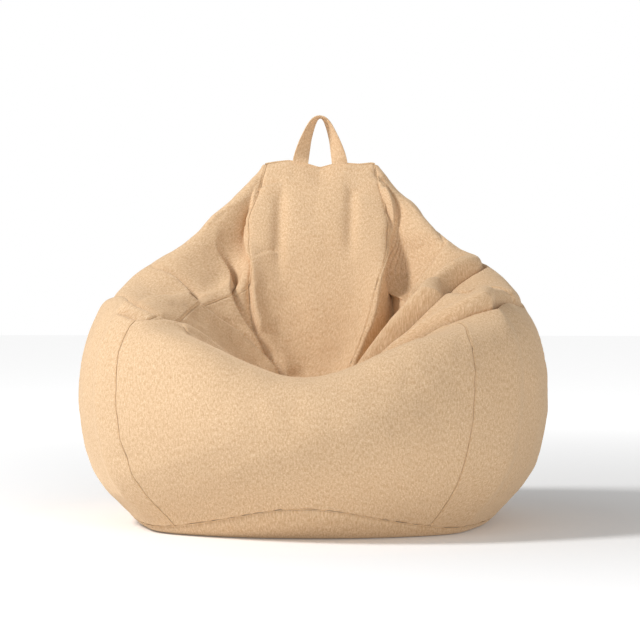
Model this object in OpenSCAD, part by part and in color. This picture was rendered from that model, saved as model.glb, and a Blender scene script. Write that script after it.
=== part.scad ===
// Bean bag chair: a sewn fabric bag with a seat hollow, a tall back and a carrying strap.
// The front faces -Y, the back +Y, the floor is z = 0 and the origin is under the middle.

/* [Body] */
// Width across the widest part of the sides
body_width = 900; // [750:10:1080]
// Depth from the front bulge to the back
body_depth = 920; // [770:10:1100]
// Height of the top seam, without the strap
body_height = 696; // [580:2:830]
// Height of the front rim at its middle
rim_height = 290; // [243:1:348]
// Height of the lowest point of the seat hollow
seat_height = 216; // [180:1:250]
// Height of the arms beside the seat
arm_height = 440; // [370:1:500]
// How far the flat patch on the floor lies inside the base seam, at the sides
base_turn = 20; // [16:1:26]
// How far the base seam rises at the middle of the front
base_seam_rise = 58; // [40:1:75]
// Width of the top edge
top_width = 232; // [196:2:280]
// Width of the inner back strip between its two seams
strip_width = 256; // [214:2:300]

/* [Back and zip] */
// Radius of the arc that the centre back follows
back_radius = 450; // [380:5:520]
// Height of the centre of that arc
back_centre_height = 230; // [195:5:275]
// Length of the zip along the arc
zip_length = 400; // [330:10:450]
// Angle of the zip's lower end below the middle of the arc
zip_start_angle = 20; // [14:0.5:21]
// Half the opening between the panel edges beside the zip
zip_gap = 6; // [6:0.1:9]
// Width of each zip tape
tape_width = 13; // [10:0.5:16]
// Thickness of each zip tape
tape_thickness = 0.6; // [0.5:0.1:0.8]
// Radius of each zip coil
coil_radius = 1.2; // [1:0.05:1.4]
// Width of the slider
slider_width = 9; // [7.5:0.1:10]
// Length of the slider along the zip
slider_length = 11; // [9:0.5:14]
// Thickness of the slider's plates
slider_plate = 1.1; // [0.9:0.1:1.3]
// Length of the pull tab
pull_length = 26; // [20:1:32]
// Width of the pull tab
pull_width = 7; // [5.5:0.1:8.5]
// Thickness of the pull tab
pull_thickness = 1.4; // [1.2:0.1:1.6]

/* [Fabric] */
// Thickness of the outer fabric
cover_thickness = 1.5; // [1.2:0.1:1.8]
// Thickness of the liner fabric
liner_thickness = 0.8; // [0.6:0.1:1]
// Air between one fabric layer and the next
layer_gap = 0.5; // [0.4:0.05:0.7]
// Radius of the rib that each sewn seam makes
seam_radius = 1; // [0.8:0.05:1.1]
// Air between a seam rib and the panel edges beside it
seam_gap = 0.2; // [0.1:0.05:0.4]

/* [Strap] */
// Width of the strap
strap_width = 32; // [26:1:36]
// Thickness of the strap
strap_thickness = 3; // [2.4:0.1:3]
// Distance between the middles of the strap's two legs at the seam
strap_spacing = 79; // [74:1:94]
// Height of the loop above the top seam
strap_height = 98; // [74:1:110]
// Length of each tail that the top seam holds
strap_tail = 13; // [11:0.5:15]
// Air between the strap's legs and the tails below them
strap_gap = 0.5; // [0.4:0.1:1]

/* [Hidden] */
$fn = 48;

half_width = body_width / 2;
half_depth = body_depth / 2;
top_half = top_width / 2;
strip_half = strip_width / 2;

// The top edge leans back with the bag, and its two faces stand this far from its middle plane
top_y = 0.5 * half_depth;
top_face = 4;
top_z = body_height;

// Number of steps between the lines' points, and the angles of the centre back's points
line_steps = 11;
arc_first_angle = -29;
arc_step_angle = 10.2;
arc_last_point = 7;
arc_centre_y = half_depth - back_radius;

function mix(a, b, t) = a + (b - a) * t;

// A point on the centre back's arc, at an angle above its middle and a radius
function arc_point(angle, radius) =
    [0, arc_centre_y + radius * cos(angle), back_centre_height + radius * sin(angle)];

// Eight lines climb the bag from the base seam to the top seam, at matching heights.
// Each point is [x, y, z], and the bag is the smooth skin through all of them.
hw = half_width;
hd = half_depth;
bh = body_height;
ah = arm_height;
base_seam_low = 12;
front_line = [
    [0, -0.87 * hd, base_seam_rise],
    [0, -0.972 * hd, 0.45 * rim_height],
    [0, -0.99 * hd, 0.73 * rim_height],
    [0, -0.89 * hd, 0.945 * rim_height],
    [0, -0.70 * hd, rim_height],
    [0, -0.46 * hd, mix(seat_height, rim_height, 0.52)],
    [0, -0.20 * hd, seat_height],
    [0, 0.04 * hd, mix(seat_height, bh, 0.07)],
    [0, 0.165 * hd, mix(seat_height, bh, 0.34)],
    [0, 0.27 * hd, mix(seat_height, bh, 0.61)],
    [0, 0.385 * hd, mix(seat_height, bh, 0.83)],
    [0, top_y - top_face, top_z]];
inner_line = [
    [0.29 * hw, -0.80 * hd, 0.66 * base_seam_rise],
    [0.37 * hw, -0.89 * hd, 0.40 * rim_height],
    [0.42 * hw, -0.91 * hd, 0.68 * rim_height],
    [0.43 * hw, -0.845 * hd, 0.96 * rim_height],
    [0.42 * hw, -0.70 * hd, mix(rim_height, ah, 0.40)],
    [0.37 * hw, -0.46 * hd, mix(rim_height, ah, 0.26)],
    [0.27 * hw, -0.21 * hd, mix(seat_height, ah, 0.33)],
    [0.21 * hw, 0.035 * hd, mix(seat_height, ah, 0.43)],
    [0.155 * hw, 0.185 * hd, mix(seat_height, bh, 0.42)],
    [0.145 * hw, 0.285 * hd, mix(seat_height, bh, 0.64)],
    [0.14 * hw, 0.39 * hd, mix(seat_height, bh, 0.84)],
    [0.50 * top_half, top_y - top_face, top_z]];
seam_line = [
    [0.555 * hw, -0.64 * hd, 0.26 * base_seam_rise],
    [0.69 * hw, -0.665 * hd, 0.27 * rim_height],
    [0.775 * hw, -0.65 * hd, 0.54 * rim_height],
    [0.805 * hw, -0.60 * hd, 0.90 * rim_height],
    [0.79 * hw, -0.51 * hd, mix(rim_height, ah, 0.46)],
    [0.71 * hw, -0.37 * hd, mix(rim_height, ah, 0.80)],
    [0.575 * hw, -0.20 * hd, mix(rim_height, ah, 0.90)],
    [mix(strip_half, 0.5 * hw, 0.75), 0.02 * hd, 0.955 * ah],
    [1.08 * strip_half, 0.20 * hd, mix(ah, bh, 0.13)],
    [1.03 * strip_half, 0.305 * hd, mix(ah, bh, 0.44)],
    [0.95 * strip_half, 0.40 * hd, mix(ah, bh, 0.72)],
    [0.90 * top_half, top_y - top_face, top_z - 1]];
wing_line = [
    [0.655 * hw, -0.53 * hd, base_seam_low + 1],
    [0.775 * hw, -0.545 * hd, 0.26 * rim_height],
    [0.855 * hw, -0.53 * hd, 0.52 * rim_height],
    [0.885 * hw, -0.49 * hd, 0.87 * rim_height],
    [0.87 * hw, -0.42 * hd, mix(rim_height, ah, 0.40)],
    [0.79 * hw, -0.31 * hd, mix(rim_height, ah, 0.82)],
    [0.665 * hw, -0.15 * hd, 0.975 * ah],
    [0.50 * hw, 0.065 * hd, ah],
    [0.385 * hw, 0.25 * hd, mix(ah, bh, 0.17)],
    [0.33 * hw, 0.355 * hd, mix(ah, bh, 0.48)],
    [0.285 * hw, 0.415 * hd, mix(ah, bh, 0.75)],
    [0.97 * top_half, top_y - 0.7 * top_face, top_z - 1]];
crest_line = [
    [0.70 * hw, -0.41 * hd, base_seam_low],
    [0.83 * hw, -0.42 * hd, 0.25 * rim_height],
    [0.91 * hw, -0.41 * hd, 0.50 * rim_height],
    [0.945 * hw, -0.38 * hd, 0.83 * rim_height],
    [0.935 * hw, -0.325 * hd, mix(rim_height, ah, 0.29)],
    [0.875 * hw, -0.22 * hd, mix(rim_height, ah, 0.78)],
    [0.765 * hw, -0.085 * hd, ah],
    [0.65 * hw, 0.085 * hd, mix(ah, bh, 0.14)],
    [0.535 * hw, 0.22 * hd, mix(ah, bh, 0.33)],
    [0.435 * hw, 0.335 * hd, mix(ah, bh, 0.56)],
    [0.345 * hw, 0.41 * hd, mix(ah, bh, 0.78)],
    [top_half, top_y, top_z - 1]];
side_line = [
    [0.775 * hw, 0.03 * hd, base_seam_low],
    [0.90 * hw, 0.025 * hd, 0.25 * rim_height],
    [0.972 * hw, 0.02 * hd, 0.49 * rim_height],
    [1.0 * hw, 0.015 * hd, 0.75 * rim_height],
    [0.993 * hw, 0.02 * hd, 0.99 * rim_height],
    [0.955 * hw, 0.045 * hd, mix(rim_height, ah, 0.50)],
    [0.872 * hw, 0.10 * hd, mix(ah, bh, -0.01)],
    [0.765 * hw, 0.19 * hd, mix(ah, bh, 0.19)],
    [0.61 * hw, 0.295 * hd, mix(ah, bh, 0.37)],
    [0.48 * hw, 0.38 * hd, mix(ah, bh, 0.57)],
    [0.36 * hw, 0.475 * hd, mix(ah, bh, 0.79)],
    [0.97 * top_half, top_y + 0.7 * top_face, top_z - 1]];
rear_line = [
    [0.57 * hw, 0.66 * hd, base_seam_low],
    [0.665 * hw, 0.715 * hd, 0.26 * rim_height],
    [0.725 * hw, 0.74 * hd, 0.51 * rim_height],
    [0.745 * hw, 0.745 * hd, 0.78 * rim_height],
    [0.725 * hw, 0.73 * hd, mix(rim_height, ah, 0.11)],
    [0.67 * hw, 0.695 * hd, mix(rim_height, ah, 0.66)],
    [0.59 * hw, 0.64 * hd, mix(ah, bh, 0.07)],
    [0.48 * hw, 0.595 * hd, mix(ah, bh, 0.31)],
    [0.37 * hw, 0.57 * hd, mix(ah, bh, 0.52)],
    [0.285 * hw, 0.55 * hd, mix(ah, bh, 0.70)],
    [0.205 * hw, 0.53 * hd, mix(ah, bh, 0.86)],
    [0.55 * top_half, top_y + top_face, top_z]];
back_line = [
    for (i = [0:arc_last_point]) arc_point(arc_first_angle + arc_step_angle * i, back_radius),
    [0, 0.655 * hd, mix(ah, bh, 0.595)],
    [0, 0.60 * hd, mix(ah, bh, 0.76)],
    [0, 0.55 * hd, mix(ah, bh, 0.89)],
    [0, top_y + top_face, top_z]];
half_lines = [front_line, inner_line, seam_line, wing_line, crest_line, side_line, rear_line, back_line];

// Places of the lines round the bag: the front's middle is 0, and the count goes on round the left side
last_line = len(half_lines) - 1;
ring_size = 2 * last_line;
seam_place = 2;
back_place = last_line;

// Smooth curves through given points. The weights are those of a cubic B-spline, and its
// controls are found by relaxing them until the curve meets the points.
relax_steps = 14;
function open_controls(p, c, n) = n == 0 ? c : open_controls(p,
    [for (i = [0:len(p) - 1]) i == 0 || i == len(p) - 1 ? p[i] : (6 * p[i] - c[i - 1] - c[i + 1]) / 4], n - 1);
function ring_controls(p, c, n) = n == 0 ? c : ring_controls(p,
    [for (i = [0:len(p) - 1])
        (6 * p[i] - c[(i + len(p) - 1) % len(p)] - c[(i + 1) % len(p)]) / 4], n - 1);
function spline(a, b, c, d, t) =
    (pow(1 - t, 3) * a + (3 * pow(t, 3) - 6 * t * t + 4) * b
    + (-3 * pow(t, 3) + 3 * t * t + 3 * t + 1) * c + pow(t, 3) * d) / 6;
function open_curve(c, s) =
    let (n = len(c) - 1, i = min(max(floor(s), 0), n - 1), t = s - i,
         before = i == 0 ? 2 * c[0] - c[1] : c[i - 1],
         after = i == n - 1 ? 2 * c[n] - c[n - 1] : c[i + 2])
    spline(before, c[i], c[i + 1], after, t);
function ring_curve(c, s) =
    let (n = len(c), i = floor(s) + n, t = s + n - i)
    spline(c[(i - 1) % n], c[i % n], c[(i + 1) % n], c[(i + 2) % n], t);

line_controls = [for (line = half_lines) open_controls(line, line, relax_steps)];
function mirrored(p) = [-p[0], p[1], p[2]];

// The closed ring of the bag at a climb from 0, the base seam, to 1, the top seam
function ring_at(climb) =
    let (half = [for (c = line_controls) open_curve(c, climb * line_steps)],
         ring = [for (p = half) p, for (i = [last_line - 1:-1:1]) mirrored(half[i])])
    ring_controls(ring, ring, relax_steps);

// A level holds the rings just below, at and just above a climb, which give the skin's slope
slope_step = 0.002;
function level_at(climb) = [ring_at(climb - slope_step), ring_at(climb), ring_at(climb + slope_step), climb];
function place_step(level, place) =
    norm(ring_curve(level[1], place + 0.01) - ring_curve(level[1], place - 0.01)) / 0.02;
function outward(level, place) =
    let (round_way = ring_curve(level[1], place + 0.01) - ring_curve(level[1], place - 0.01),
         up_way = ring_curve(level[2], place) - ring_curve(level[0], place),
         n = cross(round_way, up_way))
    n / norm(n);

// A point of the skin, or of a layer that lies a given depth inside it
function skin(level, place, depth) = ring_curve(level[1], place) - depth * outward(level, place);

// Climbs of the levels. The panels start and end a seam's width from the seams
level_count = 26;
function climb_of(i) = i / level_count;
climb_mm = 0.12 * body_height * line_steps;
// How far a layer's edge stays from the base seam, so that side and base layers don't meet
function seam_stand_off(depth) = seam_radius + seam_gap + 0.9 * depth;
edge_climb = seam_stand_off(cover_thickness) / climb_mm;
levels = [for (i = [0:level_count])
    level_at(min(max(climb_of(i), edge_climb), 1))];

// Depths of the layers
liner_depth = cover_thickness + layer_gap;
fill_depth = liner_depth + liner_thickness + layer_gap;

// The zip lies on the centre back's arc
degrees_per_mm = 180 / PI / back_radius;
zip_first_angle = -zip_start_angle;
zip_last_angle = zip_first_angle + zip_length * degrees_per_mm;
zip_end_tape = 14;
zip_clearance = 0.35;
coil_depth = cover_thickness + 0.35;
tape_depth = coil_depth + 0.7;
slider_top_depth = coil_depth - coil_radius - zip_clearance;
slider_low_depth = tape_depth + tape_thickness + zip_clearance;
slider_bottom_depth = slider_low_depth + slider_plate;
post_thickness = 0.8;
coil_offset = coil_radius + post_thickness / 2 + zip_clearance;
tape_offset = coil_offset + coil_radius + 0.05;
// The liner and the fill sink behind the zip, so that its slider has room
groove_depth = slider_bottom_depth + 1.2 - liner_depth;
groove_half = tape_offset + tape_width + 3;
groove_fade = 16;

function angle_of(climb) = arc_first_angle + arc_step_angle * climb * line_steps;
function within_zip(climb, margin) =
    let (a = angle_of(climb), far = margin * degrees_per_mm)
    a > zip_first_angle - far && a < zip_last_angle + far;
panel_margin = zip_end_tape;
groove_margin = zip_end_tape + 30;
function back_gap(climb) = within_zip(climb, panel_margin) ? zip_gap : seam_radius + seam_gap;

// Places round the bag where the panels' grids have their columns, as a share of the way between lines
seam_columns = 6;
front_columns = [for (i = [1 - seam_columns:seam_columns - 1]) seam_place * i / seam_columns];
side_columns = [2.34, 2.67, 3, 3.34, 3.67, 4, 4.34, 4.67, 5, 5.34, 5.67, 6, 6.34, 6.67];
back_columns = [groove_half + groove_fade, groove_half];

function beside(level, place, distance) = place + distance / place_step(level, place);
function near_back(level, distance) = back_place - distance / place_step(level, back_place);

// Places for one level of the front panel, the left side panel and half of the liner
function front_places(level, gap) =
    concat([beside(level, -seam_place, gap)], front_columns, [beside(level, seam_place, -gap)]);
function side_places(level, gap, back) =
    concat([beside(level, seam_place, gap)], side_columns,
           [for (d = back_columns) near_back(level, d)], [near_back(level, back)]);

// Two triangles across four corners. The left half of the bag mirrors the right half's triangles
function quad(a, b, c, d, on_left) = on_left ? [[a, b, d], [b, c, d]] : [[a, b, c], [a, c, d]];

// The same triangles seen from behind, on points that come this many places later in the list
function turned_over(triangles, shift) = [for (t = triangles) [t[0] + shift, t[2] + shift, t[1] + shift]];

// A closed sheet between an outer and an inner grid of points with the same rows and columns
module sheet(outer, inner, left_columns = 0) {
    rows = len(outer);
    cols = len(outer[0]);
    size = rows * cols;
    points = concat([for (row = outer) each row], [for (row = inner) each row]);
    function at(i, j) = i * cols + j;
    rim = concat([for (j = [0:cols - 2]) at(0, j)], [for (i = [0:rows - 2]) at(i, cols - 1)],
                 [for (j = [cols - 1:-1:1]) at(rows - 1, j)], [for (i = [rows - 1:-1:1]) at(i, 0)]);
    skins = [for (i = [0:rows - 2]) for (j = [0:cols - 2])
        each quad(at(i, j), at(i + 1, j), at(i + 1, j + 1), at(i, j + 1), j < left_columns)];
    faces = concat(skins, turned_over(skins, size),
        [for (k = [0:len(rim) - 1]) let (a = rim[k], b = rim[(k + 1) % len(rim)])
            each [[a, b, size + b], [a, size + b, size + a]]]);
    polyhedron(points, faces);
}

// A rib swept along points, with a round section
module rib(path, radius, closed = false) {
    sides = 6;
    count = len(path);
    last = count - 1;
    function at(i) = closed ? path[(i + count) % count] : path[min(max(i, 0), last)];
    function along(i) = let (d = at(i + 1) - at(i - 1)) d / norm(d);
    function aside(i) =
        let (d = along(i), s = cross(d, abs(d[2]) < 0.9 ? [0, 0, 1] : [0, 1, 0])) s / norm(s);
    rings = [for (i = [0:last]) let (u = aside(i), v = cross(along(i), u))
        [for (k = [0:sides - 1]) path[i] + radius * (cos(360 * k / sides) * u + sin(360 * k / sides) * v)]];
    walls = [for (i = [0:closed ? last : last - 1]) for (k = [0:sides - 1])
        let (a = i * sides, b = ((i + 1) % count) * sides, next = (k + 1) % sides)
        each [[a + k, b + k, b + next], [a + k, b + next, a + next]]];
    ends = closed ? [] : [[for (k = [0:sides - 1]) k], [for (k = [sides - 1:-1:0]) last * sides + k]];
    polyhedron([for (ring = rings) each ring], concat(walls, ends));
}

// The base curves from the base seam down to the flat patch on the floor. Where the seam is
// high the patch's edge lies further inside it
function rest_point(p) =
    let (reach = norm([p[0], p[1]]), inset = base_turn + 0.9 * (p[2] - base_seam_low))
    (reach - inset) / reach * [p[0], p[1], 0];
function base_curve(p, s) =
    let (q = rest_point(p)) [mix(p[0], q[0], s), mix(p[1], q[1], s), p[2] * pow(1 - s, 2)];
function base_point(level, place, start, share, depth) =
    let (p = ring_curve(level[1], place), q = rest_point(p),
         s = share == 0 ? start / norm(p - q) : share,
         before = ring_curve(level[1], place - 0.01), after = ring_curve(level[1], place + 0.01),
         round_way = base_curve(after, s) - base_curve(before, s),
         up_way = base_curve(p, s - 0.01) - base_curve(p, s),
         n = share == 1 ? [0, 0, -1] : cross(round_way, up_way) / norm(cross(round_way, up_way)))
    base_curve(p, s) - depth * n;
base_shares = [0, 0.35, 0.65, 1];
base_level = level_at(0);

// Rows of one layer of the base, from its edge to the flat patch
function base_rows(depth) =
    let (places = ring_places(base_level), stand_off = seam_stand_off(max(depth, cover_thickness)))
    [for (share = base_shares) [for (p = places) base_point(base_level, p, stand_off, share, depth)]];

// A flat-bottomed dish between an outer and an inner stack of closed rings
module dish(outer, inner) {
    rows = len(outer);
    cols = len(outer[0]);
    size = rows * cols;
    function next(j) = (j + 1) % cols;
    function at(i, j) = i * cols + j;
    skins = [for (i = [0:rows - 2]) for (j = [0:cols - 1])
        each quad(at(i, next(j)), at(i + 1, next(j)), at(i + 1, j), at(i, j), j < cols / 2)];
    faces = concat(skins, turned_over(skins, size),
        [for (j = [0:cols - 1])
            each [[at(0, next(j)), at(0, j), size + at(0, j)],
                  [at(0, next(j)), size + at(0, j), size + at(0, next(j))]]],
        [[for (j = [0:cols - 1]) at(rows - 1, j)]],
        [[for (j = [cols - 1:-1:0]) size + at(rows - 1, j)]]);
    polyhedron(concat([for (row = outer) each row], [for (row = inner) each row]), faces);
}

// The part of a list of levels that lies between two climbs
function levels_between(low, high) = [for (l = levels) if (l[3] > low && l[3] < high) l];

module fabric() { color([0.86, 0.73, 0.54]) children(); }
module liner_fabric() { color([0.93, 0.92, 0.89]) children(); }
module nylon() { color([0.78, 0.66, 0.48]) children(); }
module zinc() { color([0.62, 0.60, 0.56]) children(); }

module front_panel() {
    function grid(depth) = [for (l = levels) [for (p = front_places(l, seam_radius + seam_gap)) skin(l, p, depth)]];
    fabric() sheet(grid(0), grid(cover_thickness), left_columns = seam_columns);
}

module right_side_panel() {
    function grid(depth) = [for (l = levels)
        [for (p = side_places(l, seam_radius + seam_gap, back_gap(l[3]))) skin(l, p, depth)]];
    fabric() sheet(grid(0), grid(cover_thickness));
}

module left_side_panel() {
    mirror([1, 0, 0]) right_side_panel();
}

module base_panel() {
    fabric() dish(base_rows(0), base_rows(cover_thickness));
}

// Depth of the middle of a seam's rib
seam_depth = seam_radius - 0.1;

module right_seam() {
    run = levels_between(2 * edge_climb, 1 - 0.5 / level_count);
    fabric() rib([for (l = run) skin(l, seam_place, seam_depth)], seam_radius);
}

module left_seam() {
    mirror([1, 0, 0]) right_seam();
}

module base_seam() {
    function miter(place) =
        let (p = ring_curve(base_level[1], place),
             inward = base_point(base_level, place, 0, 0, 1) - p + skin(base_level, place, 1) - p)
        inward / norm(inward);
    fabric() rib([for (p = ring_places(base_level)) ring_curve(base_level[1], p) + seam_depth * miter(p)],
                 seam_radius, closed = true);
}

module back_seam(run) {
    fabric() rib([for (l = run) skin(l, back_place, seam_depth)], seam_radius);
}

// Climbs of the zip's two ends
function climb_at(angle) = (angle - arc_first_angle) / arc_step_angle / line_steps;

module back_seam_lower() {
    below = levels_between(edge_climb, climb_at(zip_first_angle - panel_margin * degrees_per_mm));
    back_seam(concat([level_at(2 * edge_climb)], below));
}

module back_seam_upper() {
    back_seam(levels_between(climb_at(zip_last_angle + panel_margin * degrees_per_mm), 1 - 0.5 / level_count));
}

// The top seam's rib stands between the two faces of the top edge and holds the strap's tails
top_rib_half = top_half - 36;
top_rib_thickness = 2 * (top_face - cover_thickness) - 1;
top_rib_height = 9;
tail_clearance = 0.15;

module strap_tail_slot(width, thickness, height) {
    for (side = [-1, 1])
        translate([side * strap_spacing / 2 - width / 2, top_y - thickness / 2, top_z - height])
            cube([width, thickness, height]);
}

module top_seam() {
    fabric() difference() {
        translate([-top_rib_half, top_y - top_rib_thickness / 2, top_z - top_rib_height])
            cube([2 * top_rib_half, top_rib_thickness, top_rib_height]);
        strap_tail_slot(strap_width + 2 * tail_clearance, 2 * top_rib_thickness, 2 * top_rib_height);
    }
}

module handle_tails() {
    fabric() strap_tail_slot(strap_width, strap_thickness, strap_tail);
}

// The strap rises from one leg to the other. Its legs face the front and its top is edge-on
hinge_height = 1.6;
strap_foot = top_z + strap_gap + 0.7;
strap_steps = 12;
function strap_middle(u) = [-strap_spacing / 2 * cos(u), top_y, strap_foot + strap_height * sin(u)];
function strap_frame(u) =
    let (d = strap_middle(u + 0.5) - strap_middle(u - 0.5), t = d / norm(d),
         flat = [t[2], 0, -t[0]], turn = 90 * sin(u))
    [cos(turn) * flat + sin(turn) * [0, 1, 0], -sin(turn) * flat + cos(turn) * [0, 1, 0]];
function strap_section(middle, across, through) =
    [for (c = [[-1, -1], [1, -1], [1, 1], [-1, 1]])
        middle + c[0] * strap_width / 2 * across + c[1] * strap_thickness / 2 * through];
function strap_ring(u) =
    let (v = u <= 90 ? u : 180 - u, f = strap_frame(v), ring = strap_section(strap_middle(v), f[0], f[1]))
    u <= 90 ? ring : [for (p = ring) mirrored(p)];

module handle_strap() {
    last = 2 * strap_steps;
    rings = [for (i = [0:last]) strap_ring(90 * i / strap_steps)];
    walls = [for (i = [0:last - 1]) for (k = [0:3])
        let (a = 4 * i + k, b = 4 * i + (k + 1) % 4) each [[a, a + 4, b + 4], [a, b + 4, b]]];
    fabric() polyhedron([for (ring = rings) each ring],
                        concat(walls, [[0, 1, 2, 3], [4 * last + 3, 4 * last + 2, 4 * last + 1, 4 * last]]));
}

// Turns children that lie round the Z axis so that they lie round the centre back's arc
module round_back() {
    translate([0, arc_centre_y, back_centre_height]) rotate([90, 0, 90]) children();
}

// Puts children at an angle on the arc: Y points out of the back and Z points up along it
module on_back(angle) {
    translate([0, arc_centre_y, back_centre_height]) rotate([angle, 0, 0]) children();
}

module zip_tape(side) {
    angle = (zip_length + 2 * zip_end_tape) * degrees_per_mm;
    nylon() round_back() rotate([0, 0, zip_first_angle - zip_end_tape * degrees_per_mm])
        rotate_extrude(angle = angle, $fn = 180)
            translate([back_radius - tape_depth - tape_thickness, side > 0 ? tape_offset : -tape_offset - tape_width])
                square([tape_thickness, tape_width]);
}

module zip_coil(side) {
    nylon() round_back() rotate([0, 0, zip_first_angle])
        rotate_extrude(angle = zip_length * degrees_per_mm, $fn = 180)
            translate([back_radius - coil_depth, side * coil_offset]) circle(coil_radius);
}

module zip_tape_left() { zip_tape(-1); }
module zip_tape_right() { zip_tape(1); }
module zip_coil_left() { zip_coil(-1); }
module zip_coil_right() { zip_coil(1); }

// The stops close the ends of the coils
stop_length = 3;
module zip_stop(angle, side) {
    zinc() on_back(angle)
        translate([-coil_offset - coil_radius, back_radius - coil_depth - coil_radius,
                   side > 0 ? zip_clearance : -zip_clearance - stop_length])
            cube([2 * (coil_offset + coil_radius), 2 * coil_radius, stop_length]);
}

module zip_top_stop() { zip_stop(zip_last_angle, 1); }
module zip_bottom_stop() { zip_stop(zip_first_angle, -1); }

// The slider rests at the upper end of the zip, which is closed
slider_angle = zip_last_angle - (slider_length / 2 + 1) * degrees_per_mm;
pull_bar_radius = 0.7;
pull_eye_bore = pull_bar_radius + zip_clearance;
pull_eye_radius = pull_eye_bore + 0.9;
pull_eye_width = 4;
bar_height = slider_plate - slider_top_depth + pull_eye_radius + zip_clearance;
lug_thickness = 1;
lug_length = 2.4;
bar_half = pull_eye_width / 2 + zip_clearance + lug_thickness;

module zip_slider() {
    plate_half = slider_width / 2;
    zinc() on_back(slider_angle) union() {
        translate([-plate_half, back_radius - slider_top_depth, -slider_length / 2])
            cube([slider_width, slider_plate, slider_length]);
        translate([-plate_half, back_radius - slider_bottom_depth, -slider_length / 2])
            cube([slider_width, slider_plate, slider_length]);
        translate([-post_thickness / 2, back_radius - slider_bottom_depth, slider_length / 2 - 3])
            cube([post_thickness, slider_bottom_depth - slider_top_depth + slider_plate, 3]);
        for (side = [-1, 1])
            translate([side > 0 ? bar_half - lug_thickness : -bar_half, back_radius - slider_top_depth, -lug_length / 2])
                cube([lug_thickness, bar_height + slider_top_depth + pull_bar_radius + 0.5, lug_length]);
        translate([-bar_half, back_radius + bar_height, 0]) rotate([0, 90, 0])
            cylinder(h = 2 * bar_half, r = pull_bar_radius);
    }
}

module zip_pull() {
    zinc() on_back(slider_angle) translate([0, back_radius + bar_height, 0]) difference() {
        union() {
            translate([-pull_eye_width / 2, 0, 0]) rotate([0, 90, 0]) cylinder(h = pull_eye_width, r = pull_eye_radius);
            translate([-pull_eye_width / 2, -pull_thickness / 2, -lug_length - 3])
                cube([pull_eye_width, pull_thickness, lug_length + 3]);
            translate([-pull_width / 2, -pull_thickness / 2, -pull_length])
                cube([pull_width, pull_thickness, pull_length - lug_length - 1]);
        }
        translate([-pull_eye_width, 0, 0]) rotate([0, 90, 0]) cylinder(h = 2 * pull_eye_width, r = pull_eye_bore);
    }
}

// The liner follows the cover inside it and stops short of the top, where touch tape closes it
liner_top_climb = climb_of(level_count - 1);
function inner_levels(depth, top) =
    concat([level_at(seam_stand_off(depth) / climb_mm)], levels_between(2 * edge_climb, top + 0.5 / level_count));
function groove_at(climb, distance) =
    within_zip(climb, groove_margin) && distance <= groove_half + 0.1 ? groove_depth : 0;

// Columns of one half of an inner layer, from the middle of the front to the middle of the back,
// each with its place and its distance from the middle of the back
function half_columns(level, middle_gap) = concat(
    [[beside(level, 0, middle_gap), back_place]],
    [for (i = [1:seam_columns]) [seam_place * i / seam_columns, body_width]],
    [for (p = side_columns) [p, body_width]],
    [for (d = back_columns) [near_back(level, d), d]],
    [[near_back(level, zip_gap), zip_gap]], middle_gap == 0 ? [[back_place, 0]] : [[near_back(level, middle_gap), 0]]);
function ring_places(level) =
    let (half = [for (c = half_columns(level, 0)) c[0]])
    concat(half, [for (i = [len(half) - 2:-1:1]) ring_size - half[i]]);
function half_row(level, middle_gap, depth) =
    [for (c = half_columns(level, middle_gap)) skin(level, c[0], depth + groove_at(level[3], c[1]))];

module liner_right() {
    gap = 0.6;
    rows = inner_levels(liner_depth + liner_thickness, liner_top_climb);
    function grid(depth) = [for (l = rows) half_row(l, gap, depth)];
    liner_fabric() sheet(grid(liner_depth), grid(liner_depth + liner_thickness));
}

module liner_left() {
    mirror([1, 0, 0]) liner_right();
}

module liner_base() {
    liner_fabric() dish(base_rows(liner_depth), base_rows(liner_depth + liner_thickness));
}

// Touch tape across the liner's filling mouth
touch_tape_thickness = 1.2;
touch_tape_height = 3 / 64 * (top_z - arm_height);
touch_tape_half = top_half - 40;
touch_tape_top = top_z - strap_tail - 1.5;
module touch_tape(side) {
    nylon() translate([-touch_tape_half, top_y - 2 + (side > 0 ? 0.05 : -0.05 - touch_tape_thickness),
                       touch_tape_top - touch_tape_height])
        cube([2 * touch_tape_half, touch_tape_thickness, touch_tape_height]);
}

module liner_hook_strip() { touch_tape(-1); }
module liner_loop_strip() { touch_tape(1); }

// The beads fill the liner as one body. Its last ring is drawn in, which rounds off the crown
fill_top_climb = climb_of(level_count - 2);
crown_inset = 2;
module bead_fill() {
    function whole_row(level) =
        let (inset = level[3] > fill_top_climb - 0.5 / level_count ? crown_inset : 0,
             half = half_row(level, 0, fill_depth + inset))
        concat(half, [for (i = [len(half) - 2:-1:1]) mirrored(half[i])]);
    floor_rings = base_rows(fill_depth);
    rings = concat([for (i = [len(floor_rings) - 1:-1:0]) floor_rings[i]],
                   [for (l = inner_levels(fill_depth, fill_top_climb)) whole_row(l)]);
    cols = len(rings[0]);
    half = cols / 2;
    top = len(rings) - 1;
    function at(i, j) = i * cols + j % cols;
    walls = [for (i = [0:top - 1]) for (j = [0:cols - 1])
        each quad(at(i, j), at(i + 1, j), at(i + 1, j + 1), at(i, j + 1), j >= half)];
    // The crown closes the top: it joins the front half of the last ring to its back half
    function front_at(k) = at(top, cols - half / 2 + k);
    function rear_at(k) = at(top, 2 * cols - half / 2 - k);
    crown = [for (k = [0:half - 1])
        each quad(front_at(k), rear_at(k), rear_at(k + 1), front_at(k + 1), k < half / 2)];
    floor_face = [for (j = [0:cols - 1]) j];
    color([0.96, 0.96, 0.95]) polyhedron([for (ring = rings) each ring],
        concat(walls, [floor_face], [for (t = crown) if (t[0] != t[1] && t[1] != t[2] && t[0] != t[2]) t]));
}

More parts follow.
